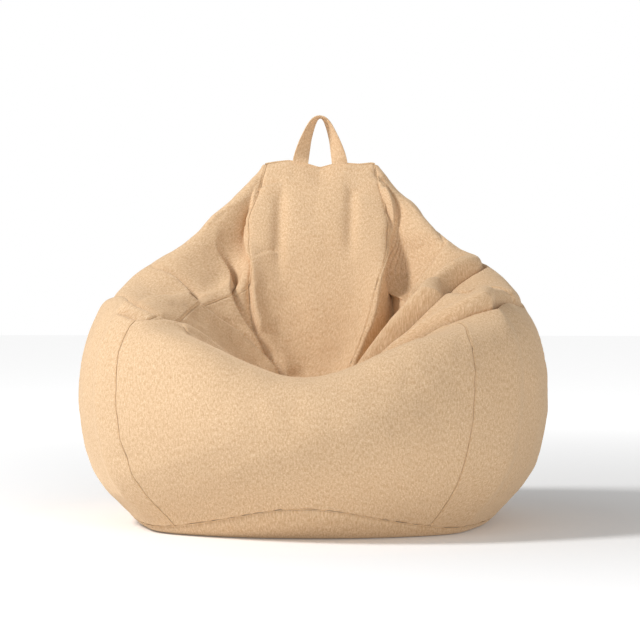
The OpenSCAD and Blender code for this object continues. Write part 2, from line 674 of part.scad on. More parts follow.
front_panel();
left_side_panel();
right_side_panel();
base_panel();
left_seam();
right_seam();
base_seam();
back_seam_upper();
back_seam_lower();
top_seam();
handle_strap();
handle_tails();
zip_tape_left();
zip_tape_right();
zip_coil_left();
zip_coil_right();
zip_top_stop();
zip_bottom_stop();
zip_slider();
zip_pull();
liner_left();
liner_right();
liner_base();
liner_hook_strip();
liner_loop_strip();
bead_fill();
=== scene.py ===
"""Bean bag chair: the looks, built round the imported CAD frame.

Lengths are in millimetres up to mesh_object, which makes them metres.
"""

import math

import bpy
import numpy as np
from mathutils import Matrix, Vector


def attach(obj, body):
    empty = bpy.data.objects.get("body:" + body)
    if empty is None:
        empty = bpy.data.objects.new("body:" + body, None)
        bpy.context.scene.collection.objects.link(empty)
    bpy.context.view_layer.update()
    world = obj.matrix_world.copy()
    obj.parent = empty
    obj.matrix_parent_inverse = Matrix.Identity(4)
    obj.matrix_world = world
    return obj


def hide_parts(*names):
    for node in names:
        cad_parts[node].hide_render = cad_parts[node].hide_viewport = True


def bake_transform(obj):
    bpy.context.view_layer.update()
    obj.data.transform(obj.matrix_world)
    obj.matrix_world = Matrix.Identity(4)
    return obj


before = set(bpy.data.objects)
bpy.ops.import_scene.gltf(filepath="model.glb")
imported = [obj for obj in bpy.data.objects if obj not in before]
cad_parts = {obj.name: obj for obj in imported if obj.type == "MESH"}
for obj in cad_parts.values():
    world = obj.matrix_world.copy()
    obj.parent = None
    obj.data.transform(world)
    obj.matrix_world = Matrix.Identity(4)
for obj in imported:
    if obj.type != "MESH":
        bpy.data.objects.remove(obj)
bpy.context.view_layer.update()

MM = 0.001

# ---------------- the bag's skin
# The same eight lines as in the CAD source climb the bag from the base seam to the top seam.
HALF_WIDTH, HALF_DEPTH, HEIGHT = 450.0, 460.0, 696.0
RIM, SEAT, ARM = 290.0, 216.0, 440.0
SEAM_RISE, SEAM_LOW, BASE_TURN = 58.0, 12.0, 20.0
TOP_HALF, STRIP_HALF = 116.0, 128.0
TOP_Y, TOP_FACE = 0.5 * HALF_DEPTH, 4.0
ARC_RADIUS, ARC_Z, ARC_FIRST, ARC_STEP = 450.0, 230.0, -29.0, 10.2
ARC_Y = HALF_DEPTH - ARC_RADIUS
STEPS = 11


def mix(a, b, t):
    return a + (b - a) * t


def from_seat(t):
    return mix(SEAT, HEIGHT, t)


def from_arm(t):
    return mix(ARM, HEIGHT, t)


def rim_to_arm(t):
    return mix(RIM, ARM, t)


def on_arc(i):
    angle = math.radians(ARC_FIRST + ARC_STEP * i)
    y, z = ARC_Y + ARC_RADIUS * math.cos(angle), ARC_Z + ARC_RADIUS * math.sin(angle)
    return (0, y / HALF_DEPTH, z)


# Each point is its x as a share of half the width, its y as a share of half the depth, and its z
TOP_X = TOP_HALF / HALF_WIDTH
STRIP_X = STRIP_HALF / HALF_WIDTH
TOP_FRONT = (TOP_Y - TOP_FACE) / HALF_DEPTH
TOP_REAR = (TOP_Y + TOP_FACE) / HALF_DEPTH
TOP_TURN = 0.7 * TOP_FACE / HALF_DEPTH
LINES = [
    [(0, -0.87, SEAM_RISE), (0, -0.972, 0.45 * RIM), (0, -0.99, 0.73 * RIM), (0, -0.89, 0.945 * RIM),
     (0, -0.70, RIM), (0, -0.46, mix(SEAT, RIM, 0.52)), (0, -0.20, SEAT), (0, 0.04, from_seat(0.07)),
     (0, 0.165, from_seat(0.34)), (0, 0.27, from_seat(0.61)), (0, 0.385, from_seat(0.83)),
     (0, TOP_FRONT, HEIGHT)],
    [(0.29, -0.80, 0.66 * SEAM_RISE), (0.37, -0.89, 0.40 * RIM), (0.42, -0.91, 0.68 * RIM),
     (0.43, -0.845, 0.96 * RIM), (0.42, -0.70, rim_to_arm(0.40)), (0.37, -0.46, rim_to_arm(0.26)),
     (0.27, -0.21, mix(SEAT, ARM, 0.33)), (0.21, 0.035, mix(SEAT, ARM, 0.43)),
     (0.155, 0.185, from_seat(0.42)), (0.145, 0.285, from_seat(0.64)), (0.14, 0.39, from_seat(0.84)),
     (0.5 * TOP_X, TOP_FRONT, HEIGHT)],
    [(0.555, -0.64, 0.26 * SEAM_RISE), (0.69, -0.665, 0.27 * RIM), (0.775, -0.65, 0.54 * RIM),
     (0.805, -0.60, 0.90 * RIM), (0.79, -0.51, rim_to_arm(0.46)), (0.71, -0.37, rim_to_arm(0.80)),
     (0.575, -0.20, rim_to_arm(0.90)), (mix(STRIP_X, 0.5, 0.75), 0.02, 0.955 * ARM),
     (1.08 * STRIP_X, 0.20, from_arm(0.13)), (1.03 * STRIP_X, 0.305, from_arm(0.44)),
     (0.95 * STRIP_X, 0.40, from_arm(0.72)), (0.90 * TOP_X, TOP_FRONT, HEIGHT - 1)],
    [(0.655, -0.53, SEAM_LOW + 1), (0.775, -0.545, 0.26 * RIM), (0.855, -0.53, 0.52 * RIM),
     (0.885, -0.49, 0.87 * RIM), (0.87, -0.42, rim_to_arm(0.40)), (0.79, -0.31, rim_to_arm(0.82)),
     (0.665, -0.15, 0.975 * ARM), (0.50, 0.065, ARM), (0.385, 0.25, from_arm(0.17)),
     (0.33, 0.355, from_arm(0.48)), (0.285, 0.415, from_arm(0.75)),
     (0.97 * TOP_X, TOP_Y / HALF_DEPTH - TOP_TURN, HEIGHT - 1)],
    [(0.70, -0.41, SEAM_LOW), (0.83, -0.42, 0.25 * RIM), (0.91, -0.41, 0.50 * RIM),
     (0.945, -0.38, 0.83 * RIM), (0.935, -0.325, rim_to_arm(0.29)), (0.875, -0.22, rim_to_arm(0.78)),
     (0.765, -0.085, ARM), (0.65, 0.085, from_arm(0.14)), (0.535, 0.22, from_arm(0.33)),
     (0.435, 0.335, from_arm(0.56)), (0.345, 0.41, from_arm(0.78)),
     (TOP_X, TOP_Y / HALF_DEPTH, HEIGHT - 1)],
    [(0.775, 0.03, SEAM_LOW), (0.90, 0.025, 0.25 * RIM), (0.972, 0.02, 0.49 * RIM),
     (1.0, 0.015, 0.75 * RIM), (0.993, 0.02, 0.99 * RIM), (0.955, 0.045, rim_to_arm(0.50)),
     (0.872, 0.10, from_arm(-0.01)), (0.765, 0.19, from_arm(0.19)), (0.61, 0.295, from_arm(0.37)),
     (0.48, 0.38, from_arm(0.57)), (0.36, 0.475, from_arm(0.79)),
     (0.97 * TOP_X, TOP_Y / HALF_DEPTH + TOP_TURN, HEIGHT - 1)],
    [(0.57, 0.66, SEAM_LOW), (0.665, 0.715, 0.26 * RIM), (0.725, 0.74, 0.51 * RIM),
     (0.745, 0.745, 0.78 * RIM), (0.725, 0.73, rim_to_arm(0.11)), (0.67, 0.695, rim_to_arm(0.66)),
     (0.59, 0.64, from_arm(0.07)), (0.48, 0.595, from_arm(0.31)), (0.37, 0.57, from_arm(0.52)),
     (0.285, 0.55, from_arm(0.70)), (0.205, 0.53, from_arm(0.86)), (0.55 * TOP_X, TOP_REAR, HEIGHT)],
    [on_arc(i) for i in range(8)] + [(0, 0.655, from_arm(0.595)), (0, 0.60, from_arm(0.76)),
                                     (0, 0.55, from_arm(0.89)), (0, TOP_REAR, HEIGHT)],
]
RING = 14
BACK_PLACE = 7.0
NEAR_SKIN, NEAR_PLACE = 1e-3, 0.01


def weights(t):
    """The four weights of a cubic B-spline at t between its second and third control."""
    four = [(1 - t) ** 3, 3 * t**3 - 6 * t**2 + 4, -3 * t**3 + 3 * t**2 + 3 * t + 1, t**3]
    return np.stack(four, -1) / 6


def line_controls():
    """Controls of the eight lines, so that each passes through its points: 8 x 12 x 3."""
    points = np.array(LINES, float) * (HALF_WIDTH, HALF_DEPTH, 1)
    n = points.shape[1]
    join = np.eye(n)
    for i in range(1, n - 1):
        join[i, i - 1 : i + 2] = 1 / 6, 4 / 6, 1 / 6
    solved = np.linalg.solve(join, points.transpose(1, 0, 2).reshape(n, -1))
    return solved.reshape(n, 8, 3).transpose(1, 0, 2)


CONTROLS = line_controls()
AROUND = np.linalg.inv(
    sum(np.roll(np.eye(RING), k, 1) * w for k, w in ((-1, 1 / 6), (0, 4 / 6), (1, 1 / 6)))
)


def rings_at(climb):
    """Controls of the bag's closed ring at each climb, from 0 at the base seam to 1 at the top."""
    s = np.asarray(climb, float) * STEPS
    i = np.clip(np.floor(s).astype(int), 0, STEPS - 1)
    ends = np.concatenate([2 * CONTROLS[:, :1] - CONTROLS[:, 1:2], CONTROLS,
                           2 * CONTROLS[:, -1:] - CONTROLS[:, -2:-1]], 1)
    w = weights(s - i)
    half = sum(w[:, k, None, None] * ends[:, i + k].transpose(1, 0, 2) for k in range(4))
    left = half[:, 6:0:-1] * (-1, 1, 1)
    return np.einsum("ab,nbk->nak", AROUND, np.concatenate([half, left], 1))


def skin_at(rings, place):
    """Points of the skin, one for each ring and place.

    A place is 0 at the middle of the front, 2 and -2 at the CAD's two strip seams, and 7 or -7 at
    the centre back.
    """
    i = np.floor(place).astype(int)
    w = weights(place - i)
    n = np.arange(len(place))
    return sum(w[:, k, None] * rings[n, (i + k - 1) % RING] for k in range(4))


def skin(climb, place):
    """Points and outward normals of the smooth skin."""
    rings = rings_at(climb)
    across = skin_at(rings, place + NEAR_SKIN) - skin_at(rings, place - NEAR_SKIN)
    up = skin_at(rings_at(climb + NEAR_SKIN), place) - skin_at(rings_at(climb - NEAR_SKIN), place)
    normal = np.cross(across, up)
    return skin_at(rings, place), normal / np.linalg.norm(normal, axis=1, keepdims=True)


# ---------------- curves and lengths
EASING = 0.018


def smooth(low, high, x):
    """From 0 at low to 1 at high, with soft ends. Low may be above high."""
    t = np.clip((np.asarray(x, float) - low) / (high - low), 0, 1)
    return t * t * (3 - 2 * t)


def eased(table, x):
    """A smooth curve through a table of (x, y) pairs: straight runs, rounded by averaging."""
    xs, ys = np.array(table, float).T
    spread = np.linspace(-1, 1, 9) * EASING
    return np.mean([np.interp(np.asarray(x) + d, xs, ys) for d in spread], 0)


def distances(path):
    """How far along a path each of its points is."""
    return np.concatenate([[0], np.cumsum(np.linalg.norm(np.diff(path, axis=0), axis=1))])


def resampled(at, along, values):
    """Three columns of values, given at the distances along, read at other distances."""
    return np.stack([np.interp(at, along, values[:, k]) for k in range(3)], 1)


def unit(vectors):
    return vectors / np.linalg.norm(vectors, axis=1, keepdims=True)


# ---------------- the seams and folds of the cover
# Where the strip seams run, as (climb, place): the loaded bag has pulled each its own way
RIGHT_SEAM = [(0, 1.74), (0.07, 1.68), (0.16, 1.60), (0.25, 1.60), (0.33, 1.60), (0.37, 1.56),
              (0.41, 1.60), (0.44, 1.60), (0.465, 1.35), (0.49, 0.95), (0.52, 0.62), (0.56, 0.46),
              (0.60, 0.42), (0.635, 0.58), (0.661, 0.88), (0.68, 1.17), (0.715, 1.54), (0.755, 2.0),
              (0.79, 2.2), (0.86, 2.34), (0.95, 2.4), (1, 2.3)]
LEFT_SEAM = [(0, 1.87), (0.15, 1.84), (0.24, 1.88), (0.33, 1.89), (0.39, 1.82), (0.44, 1.66),
             (0.49, 1.60), (0.54, 1.76), (0.59, 1.92), (0.64, 2.02), (0.67, 1.98), (0.70, 1.80),
             (0.73, 1.80), (0.77, 2.02), (0.84, 2.22), (0.94, 2.3), (1, 2.2)]


def seam_at(climb, side):
    return side * eased(RIGHT_SEAM if side > 0 else LEFT_SEAM, climb)


# Folds, each with its run as (climb, place), its depth, its lip's height, how far its valley and
# its lip reach, how far the lip leans over the valley, on which side of the run the lip is, over
# which share of its length it grows at its start, and how high the cloth rolls up past the valley
FOLDS = [
    # the left arm's folds, from the seat up
    ([(0.665, -4.9), (0.64, -4.1), (0.623, -3.5), (0.600, -2.5), (0.594, -1.96), (0.61, -1.6),
      (0.620, -1.45), (0.623, -1.02), (0.605, -0.65), (0.57, -0.35)], 38, 10, 17, 22, 13, -1, 0.35,
      7),
    ([(0.53, -5.0), (0.505, -4.5), (0.475, -3.3), (0.447, -2.0), (0.449, -1.65), (0.475, -1.52),
      (0.503, -1.37), (0.515, -1.1), (0.525, -0.75), (0.52, -0.5)], 40, 10, 18, 24, 13, -1, 0.2, 6),
    ([(0.43, -2.6), (0.417, -2.1), (0.405, -1.82), (0.412, -1.64), (0.44, -1.5), (0.46, -1.36)], 24,
      6, 12, 16, 8, -1, 0.3, 0),
    ([(0.76, -3.7), (0.735, -3.2), (0.712, -2.75), (0.673, -1.80), (0.655, -1.34), (0.641, -1.02),
      (0.62, -0.7)], 24, 6, 15, 24, 5, -1, 0.2, 8),
    # the strip's two edges over the wings beside it
    ([(0.765, 2.5), (0.80, 3.0), (0.86, 3.5), (0.93, 3.7), (0.97, 3.2)], 12, 8, 20, 18, 3, 1, 0.65,
      0),
    ([(0.825, 3.1), (0.785, 2.6), (0.755, 2.20), (0.715, 1.72), (0.680, 1.35), (0.661, 1.05),
      (0.635, 0.75), (0.60, 0.45)], 64, 7, 40, 18, 8, -1, 0.3, 0),
    ([(0.97, -3.2), (0.93, -3.4), (0.86, -3.1), (0.81, -2.8), (0.765, -2.12), (0.725, -1.82),
      (0.69, -1.50), (0.66, -1.2)], 15, 6, 20, 16, 4, 1, 0.4, 0),
    # the right wing's folds, from the strip down to the arm
    ([(0.80, 5.2), (0.768, 4.8), (0.737, 4.25), (0.700, 3.44), (0.678, 2.5), (0.664, 1.80),
      (0.648, 1.24), (0.625, 0.85), (0.59, 0.5)], 16, 10, 30, 20, 2, 1, 0.5, 0),
    ([(0.68, 5.3), (0.66, 4.95), (0.642, 4.5), (0.619, 3.96), (0.594, 3.0), (0.574, 2.0),
      (0.572, 1.52), (0.565, 1.1), (0.545, 0.75)], 36, 4, 14, 20, 3, 1, 0.45, 44),
    ([(0.53, 5.1), (0.511, 4.71), (0.480, 3.90), (0.457, 2.9), (0.446, 2.33), (0.448, 1.76),
      (0.465, 1.4), (0.485, 1.05), (0.49, 0.7)], 34, 2, 12, 28, 3, 1, 0.45, 30),
    # small wrinkles on the right arm
    ([(0.60, 3.4), (0.577, 3.6), (0.572, 3.95), (0.555, 4.25), (0.528, 4.4)], 5, 3.5, 10, 9, 1, 1,
      0.3, 0),
    ([(0.545, 3.3), (0.530, 3.6), (0.520, 4.0), (0.500, 4.3)], 4, 3, 9, 8, 0.5, 1, 0.3, 0),
    ([(0.70, 4.6), (0.685, 4.3), (0.66, 4.0), (0.64, 3.8)], 4.5, 3.5, 10, 9, 0.5, 1, 0.3, 0),
    # soft dents over the back and the flanks
    ([(0.95, 4.6), (0.88, 5.2), (0.79, 5.7), (0.70, 5.9)], 2, 1, 20, 22, 0, 1, 0.5, 5),
    ([(0.94, -4.4), (0.86, -4.9), (0.78, -5.5), (0.69, -5.7)], 2, 1, 20, 22, 0, -1, 0.5, 5),
    ([(0.50, 6.2), (0.42, 5.8), (0.38, 5.3), (0.37, 4.8)], 2, 1, 20, 20, 0, 1, 0.5, 5),
    ([(0.40, -6.2), (0.37, -5.8), (0.36, -5.3), (0.38, -4.8)], 2, 1, 20, 20, 0, -1, 0.5, 5),
    # tucks at the strip's left edge
    ([(0.935, -3.2), (0.940, -2.6), (0.945, -1.9), (0.955, -1.3)], 6, 3, 9, 8, 1, -1, 0.3, 0),
    ([(0.76, -2.1), (0.772, -1.85), (0.797, -1.5), (0.81, -1.2)], 2.4, 1.4, 9, 8, 0.4, -1, 0.3, 0),
]
RUN_STEP, ROLL_REACH, FADE = 3.0, 26.0, 3.2
STEP_LOW, STEP_HIGH, LIP_FLAT, LIP_POWER, LEAN_REACH = -2.5, 4.5, 6, 1.5, 9
FACING_LOW, FACING_HIGH, END_SHARE = -0.2, 0.3, 0.93
POINTS_AT_ONCE = 20000


def run_of(points):
    """A fold's run on the skin: points, directions sideways, shares of its length, and normals."""
    points = np.array(points, float)
    count = len(points)
    t = np.linspace(0, count - 1, 40 * count)
    before, after = 2 * points[:1] - points[1:2], 2 * points[-1:] - points[-2:-1]
    padded = np.concatenate([before, points, after])
    i = np.clip(np.floor(t).astype(int), 0, count - 2)
    f = (t - i)[:, None]
    a, b, c, d = (padded[i + k] for k in range(4))
    curve = (2 * a - 5 * b + 4 * c - d) * f**2 + (3 * b - a - 3 * c + d) * f**3
    line = 0.5 * (2 * b + (c - a) * f + curve)
    place, normal = skin(np.clip(line[:, 0], 0.001, 0.999), line[:, 1])
    along = distances(place)
    even = np.linspace(0, along[-1], max(8, int(along[-1] / RUN_STEP)))
    place, normal = resampled(even, along, place), resampled(even, along, normal)
    sideways = np.cross(normal, np.gradient(place, axis=0))
    return place, unit(sideways), even / even[-1], normal


def fold(points, normals, out, run, depth, lip, valley_reach, lip_reach, lean, side, growth, roll):
    """Adds one fold to the offsets of the points near it that face the same way."""
    line, sideways, along, facing_of = run_of(run)
    reach = FADE * max(valley_reach, lip_reach, ROLL_REACH if roll else 0)
    inside = (points > line.min(0) - reach) & (points < line.max(0) + reach)
    near = np.all(inside, axis=1).nonzero()[0]
    for part in np.array_split(near, max(1, len(near) // POINTS_AT_ONCE)):
        gap = points[part][:, None] - line[None]
        nearest = np.einsum("abk,abk->ab", gap, gap).argmin(1)
        off = gap[np.arange(len(part)), nearest]
        sure = sideways[nearest] * side
        s = np.einsum("ak,ak->a", off, sure)
        far = np.linalg.norm(off, axis=1)
        t = along[nearest]
        ends = smooth(0, growth, t) * smooth(1, END_SHARE, t)
        agree = np.einsum("ak,ak->a", normals[part], facing_of[nearest])
        facing = smooth(reach, 0.6 * reach, far) * smooth(FACING_LOW, FACING_HIGH, agree)
        step = smooth(STEP_LOW, STEP_HIGH, s)
        valley = -depth * np.exp(-np.abs(np.minimum(s, 0)) / valley_reach) * (1 - step)
        ridge = lip * np.exp(-((np.maximum(s - LIP_FLAT, 0) / lip_reach) ** LIP_POWER)) * step
        beyond = np.maximum(-s, 0) / ROLL_REACH
        ridge = ridge + roll * beyond * np.exp((1 - beyond**2) / 2)
        grow = ends * facing
        out[part] += normals[part] * ((valley + ridge) * grow)[:, None]
        over = lean * step * np.exp(-np.maximum(s, 0) / LEAN_REACH) * grow
        out[part] -= sure * over[:, None]


def waves(points, length, seed, count=14):
    """A smooth field of about -1 to 1, made of waves of about one length in every direction."""
    chance = np.random.default_rng(seed)
    field = np.zeros(len(points))
    for _ in range(count):
        direction = chance.normal(size=3)
        direction *= 2 * math.pi / (length * chance.uniform(0.75, 1.5)) / np.linalg.norm(direction)
        field += np.sin(points @ direction + chance.uniform(0, 2 * math.pi))
    return field / math.sqrt(count)


# How far the top edge rises above the CAD's, as (x, rise)
TOP_EDGE = [(-122, 0), (-116, 5), (-92, 9), (-64, 12), (-30, 6), (0, -3), (26, 4), (54, 6), (80, 4),
            (107, 7), (120, 2)]
# The strip's upright waves: x, half width, share of the depth, and the climbs where each fades
UPRIGHTS = [(-78, 14, 1.0, (0.98, 0.90), (0.74, 0.84)), (66, 13, 0.8, (0.99, 0.93), (0.78, 0.86))]
UPRIGHT_DEPTH, STRIP_SWELL = 9, 7
# Lumps of the beads and finer unevenness of the cloth: height, length, seed
LUMPS = [(1.2, 150, 3), (0.6, 55, 4), (0.22, 22, 5)]
LUMP_SINK = 1.2
# Front and back round over to meet at the top seam from this climb on
ROUND_FROM, ROUND_CLIMB, ROUND_SHARE = 0.984, 0.0145, 0.83


def top_rise(x):
    return np.interp(x, *np.array(TOP_EDGE, float).T)


def relief(climb, place):
    """Points of the loaded, creased cover for pairs of climb and place."""
    points, normals = skin(climb, place)
    out = np.zeros_like(points)
    for run, *sizes in FOLDS:
        fold(points, normals, out, run, *sizes)
    # the strip is fuller than the wings and carries soft upright waves
    across = np.abs(place) / 2.2
    high = smooth(0.70, 0.80, climb) * smooth(1.0, 0.95, climb)
    swell = STRIP_SWELL * high * np.clip(1 - across**4, 0, 1)
    x = points[:, 0]
    upright = np.zeros(len(x))
    for middle, width, share, top, bottom in UPRIGHTS:
        wave = share * np.exp(-(((x - middle) / width) ** 2))
        upright += wave * smooth(*top, climb) * smooth(*bottom, climb)
    swell -= UPRIGHT_DEPTH * upright * smooth(2.3, 1.9, np.abs(place))
    # lumps everywhere but along the zip and at the panels' ends
    back = smooth(6.2, 6.9, np.abs(place))
    calm = 1 - 0.9 * back * smooth(0.07, 0.12, climb) * smooth(0.86, 0.80, climb)
    hem = smooth(0.0, 0.03, climb) * smooth(1.0, 0.97, climb)
    lumps = sum(height * waves(points, length, seed) for height, length, seed in LUMPS)
    swell += calm * hem * (lumps - LUMP_SINK)
    out += normals * swell[:, None]
    # the top edge isn't level
    edge = smooth(0.93, 1.0, climb)
    out[:, 2] += edge * top_rise(x)
    over = np.clip((climb - ROUND_FROM) / ROUND_CLIMB, 0, 1)
    out[:, 1] -= (points[:, 1] + out[:, 1] - TOP_Y) * ROUND_SHARE * (1 - np.sqrt(1 - over**2))
    return points + out


RUFFLE_REACH, FIRST_GAP = 60, 0.5


def seam_ruffle(gap, along, seed):
    """How far the cloth stands off beside a seam: a groove at the stitches, and fading puckers."""
    groove = -1.3 * np.exp(-((gap / 1.9) ** 2)) + 0.5 * np.exp(-(((gap - 6) / 3.5) ** 2))
    line = np.stack([along, 0 * along, 0 * along], 1)
    return groove + 0.8 * np.exp(-gap / 13) * waves(line, 26, seed, 6)


def normals_of(grid):
    across = np.gradient(grid, axis=1)
    up = np.gradient(grid, axis=0)
    n = np.cross(across, up)
    return n / np.maximum(np.linalg.norm(n, axis=2, keepdims=True), 1e-9)


def rows_between(low, high, count):
    """Climbs from low to high, closer together where the folds are."""
    x = np.linspace(0, 1, 2001)
    dense = 1 + 0.9 * smooth(0.22, 0.34, x) * smooth(0.74, 0.62, x) + 0.25 * smooth(0.74, 0.80, x)
    total = np.concatenate([[0], np.cumsum((dense[1:] + dense[:-1]) / 2)])
    a, b = np.interp([low, high], x, total)
    return np.interp(np.linspace(a, b, count), total, x)


NEAR_SEAM = np.array([0.5, 1.4, 2.6, 4.2, 6.2, 8.8, 12.0])


def step_length(climb, place):
    """Millimetres of skin in one unit of place."""
    rings = rings_at(climb)
    step = skin_at(rings, place + NEAR_PLACE) - skin_at(rings, place - NEAR_PLACE)
    return np.linalg.norm(step, axis=1) / (2 * NEAR_PLACE)


def columns(climb, start, end, inner, edge_start, edge_end):
    """Places from one seam to the next for each row: fine steps beside each, shares between."""
    size_a, size_b = step_length(climb, start)[:, None], step_length(climb, end)[:, None]
    sign = np.sign(end - start)[:, None]
    first = start[:, None] + sign * (edge_start - NEAR_SEAM[0] + NEAR_SEAM) / size_a
    last = end[:, None] - sign * ((edge_end[:, None] - NEAR_SEAM[0] + NEAR_SEAM) / size_b)[:, ::-1]
    a, b = first[:, -1:], last[:, :1]
    return np.concatenate([first, a + (b - a) * inner[None, 1:-1], last], 1)


def panel_grid(climbs, places):
    flat_c = np.repeat(climbs, places.shape[1])
    return relief(flat_c, places.ravel()).reshape(places.shape + (3,))


def lengths_along(grid, axis):
    steps = np.linalg.norm(np.diff(grid, axis=axis), axis=2)
    zero = np.zeros_like(np.take(steps, [0], axis=axis))
    return np.concatenate([zero, np.cumsum(steps, axis=axis)], axis=axis)


# ---------------- meshes
def mesh_object(name, points, faces, uv):
    """An object from points in millimetres, faces of one number of corners, and a UV per point."""
    points, faces = np.asarray(points, float), np.asarray(faces, int)
    mesh = bpy.data.meshes.new(name)
    corners = faces.shape[1]
    mesh.vertices.add(len(points))
    mesh.vertices.foreach_set("co", (points * MM).astype(np.float32).ravel())
    mesh.loops.add(faces.size)
    mesh.loops.foreach_set("vertex_index", faces.astype(np.int32).ravel())
    mesh.polygons.add(len(faces))
    mesh.polygons.foreach_set("loop_start", np.arange(0, faces.size, corners, dtype=np.int32))
    mesh.polygons.foreach_set("use_smooth", np.ones(len(faces), bool))
    layer = mesh.uv_layers.new(name="cloth")
    layer.data.foreach_set("uv", (np.asarray(uv)[faces.ravel()] * MM).astype(np.float32).ravel())
    mesh.update(calc_edges=True)
    mesh.validate()
    made = bpy.data.objects.new(name, mesh)
    bpy.context.scene.collection.objects.link(made)
    return made


def grid_faces(rows, cols, closed=False, flip=False):
    i, j = np.meshgrid(np.arange(rows - 1), np.arange(cols if closed else cols - 1), indexing="ij")
    i, j = i.ravel(), j.ravel()
    k = (j + 1) % cols
    f = np.stack([i * cols + j, i * cols + k, (i + 1) * cols + k, (i + 1) * cols + j], 1)
    return f[:, ::-1] if flip else f


def rings_round(path, u, v, radius, sides):
    """Points of a ring round each point of a path, in the plane of the directions u and v."""
    angle = np.linspace(0, 2 * math.pi, sides, endpoint=False)[None, :, None]
    ring = u[:, None] * np.cos(angle) + v[:, None] * np.sin(angle)
    return (path[:, None] + ring * radius[:, None, None]).reshape(-1, 3)


def tube(name, path, radius, sides):
    """A round tube along a path. Its two ends are open, and lie inside the cloth."""
    along = unit(np.gradient(path, axis=0))
    u = unit(np.cross(along, np.where(np.abs(along[:, 2:3]) < 0.9, [[0, 0, 1.0]], [[0, 1.0, 0]])))
    points = rings_round(path, u, np.cross(along, u), np.broadcast_to(radius, len(path)), sides)
    angle = np.linspace(0, 2 * math.pi, sides, endpoint=False)
    uv = np.stack([np.tile(angle, len(path)), np.repeat(distances(path), sides)], 1)
    return mesh_object(name, points, grid_faces(len(path), sides, closed=True, flip=True), uv)


# ---------------- materials
class Nodes:
    """A short way to write a material's nodes."""

    def __init__(self, name):
        self.material = bpy.data.materials.new(name)
        self.material.use_nodes = True
        self.tree = self.material.node_tree
        self.shader = self.tree.nodes["Principled BSDF"]

    def feed(self, socket, value):
        if isinstance(value, bpy.types.NodeSocket):
            self.tree.links.new(value, socket)
        else:
            socket.default_value = value

    def add(self, kind, inputs, output=0, **settings):
        node = self.tree.nodes.new(kind)
        for key, value in settings.items():
            setattr(node, key, value)
        for key, value in inputs.items():
            self.feed(node.inputs[key], value)
        return node.outputs[output]

    def math(self, operation, a, b=0.0):
        return self.add("ShaderNodeMath", {0: a, 1: b}, operation=operation)

    def blend(self, share, a, b):
        return self.add("ShaderNodeMix", {0: share, 6: a, 7: b}, 2, data_type="RGBA")

    def noise(self, vector, detail, rough=0.5):
        inputs = {"Vector": vector, "Scale": 1.0, "Detail": detail, "Roughness": rough}
        return self.add("ShaderNodeTexNoise", inputs)

    def ramp(self, value, low, high, to_low=0.0, to_high=1.0):
        return self.add("ShaderNodeMapRange", {0: value, 1: low, 2: high, 3: to_low, 4: to_high})

    def object_place(self):
        return self.add("ShaderNodeTexCoord", {}, "Object")

    def scaled(self, vector, x, y, z=1.0):
        return self.add("ShaderNodeMapping", {"Vector": vector, "Scale": (x, y, z)})

    def set(self, **values):
        for key, value in values.items():
            self.feed(self.shader.inputs[key.replace("_", " ")], value)

    def bump(self, height, strength, distance):
        inputs = {"Height": height, "Strength": strength, "Distance": distance}
        self.set(Normal=self.add("ShaderNodeBump", inputs))


def colour(r, g, b):
    """A colour from sRGB values of 0 to 255."""
    def linear(v):
        v /= 255
        return v / 12.92 if v <= 0.04045 else ((v + 0.055) / 1.055) ** 2.4
    return (linear(r), linear(g), linear(b), 1.0)


def woven(name, base, dark, light, thread=0.0021, sheen=0.5, slub=1.0, depth=0.0003):
    """A plain weave of mixed yarns. Its UV map is in metres, along and across the cloth."""
    n = Nodes(name)
    uv = n.add("ShaderNodeUVMap", {}, uv_map="cloth")
    turn = 2 * math.pi / thread
    warp, weft = (n.add("ShaderNodeSeparateXYZ", {0: uv}, k) for k in (0, 1))
    warp, weft = (n.math("SINE", n.math("MULTIPLY", way, turn)) for way in (warp, weft))
    crossing = n.math("MULTIPLY", warp, weft)
    across = n.noise(n.scaled(uv, 220, 640), 3.0, 0.6)
    along = n.noise(n.scaled(uv, 600, 200), 3.0, 0.6)
    yarn = n.math("ADD", n.math("MULTIPLY", across, 0.5), n.math("MULTIPLY", along, 0.5))
    fleck = n.noise(n.scaled(uv, 420, 420), 1.0)
    grain = n.noise(n.scaled(uv, 300, 140), 4.0, 0.8)
    patch = n.noise(n.scaled(uv, 9, 9), 3.0, 0.6)

    def darker(tone, pattern, low, high, share):
        return n.blend(n.math("MULTIPLY", n.ramp(pattern, low, high), share), tone, dark)

    tone = darker(n.blend(n.ramp(yarn, 0.36, 0.64), dark, light), fleck, 0.58, 0.74, 0.45 * slub)
    tone = darker(n.blend(0.35, tone, base), grain, 0.44, 0.64, 0.85 * slub)
    tone = darker(tone, patch, 0.3, 0.7, 0.10)
    height = n.math("ADD", n.math("MULTIPLY", crossing, 0.35), n.math("MULTIPLY", yarn, 1.1))
    n.bump(height, 0.55, depth)
    n.set(Base_Color=tone, Roughness=n.math("ADD", n.math("MULTIPLY", fleck, 0.1), 0.82))
    n.set(Sheen_Weight=sheen, Sheen_Roughness=0.5, Sheen_Tint=light, Specular_IOR_Level=0.2)
    return n.material


def metal(name, base, rough):
    n = Nodes(name)
    grain = n.noise(n.scaled(n.object_place(), 900, 900, 4000), 2.0)
    dull = n.blend(n.math("MULTIPLY", grain, 0.25), base, (0.25, 0.24, 0.23, 1))
    n.set(Base_Color=dull, Metallic=1.0)
    n.set(Roughness=n.math("ADD", n.math("MULTIPLY", grain, 0.2), rough))
    n.bump(grain, 0.15, 0.00005)
    return n.material


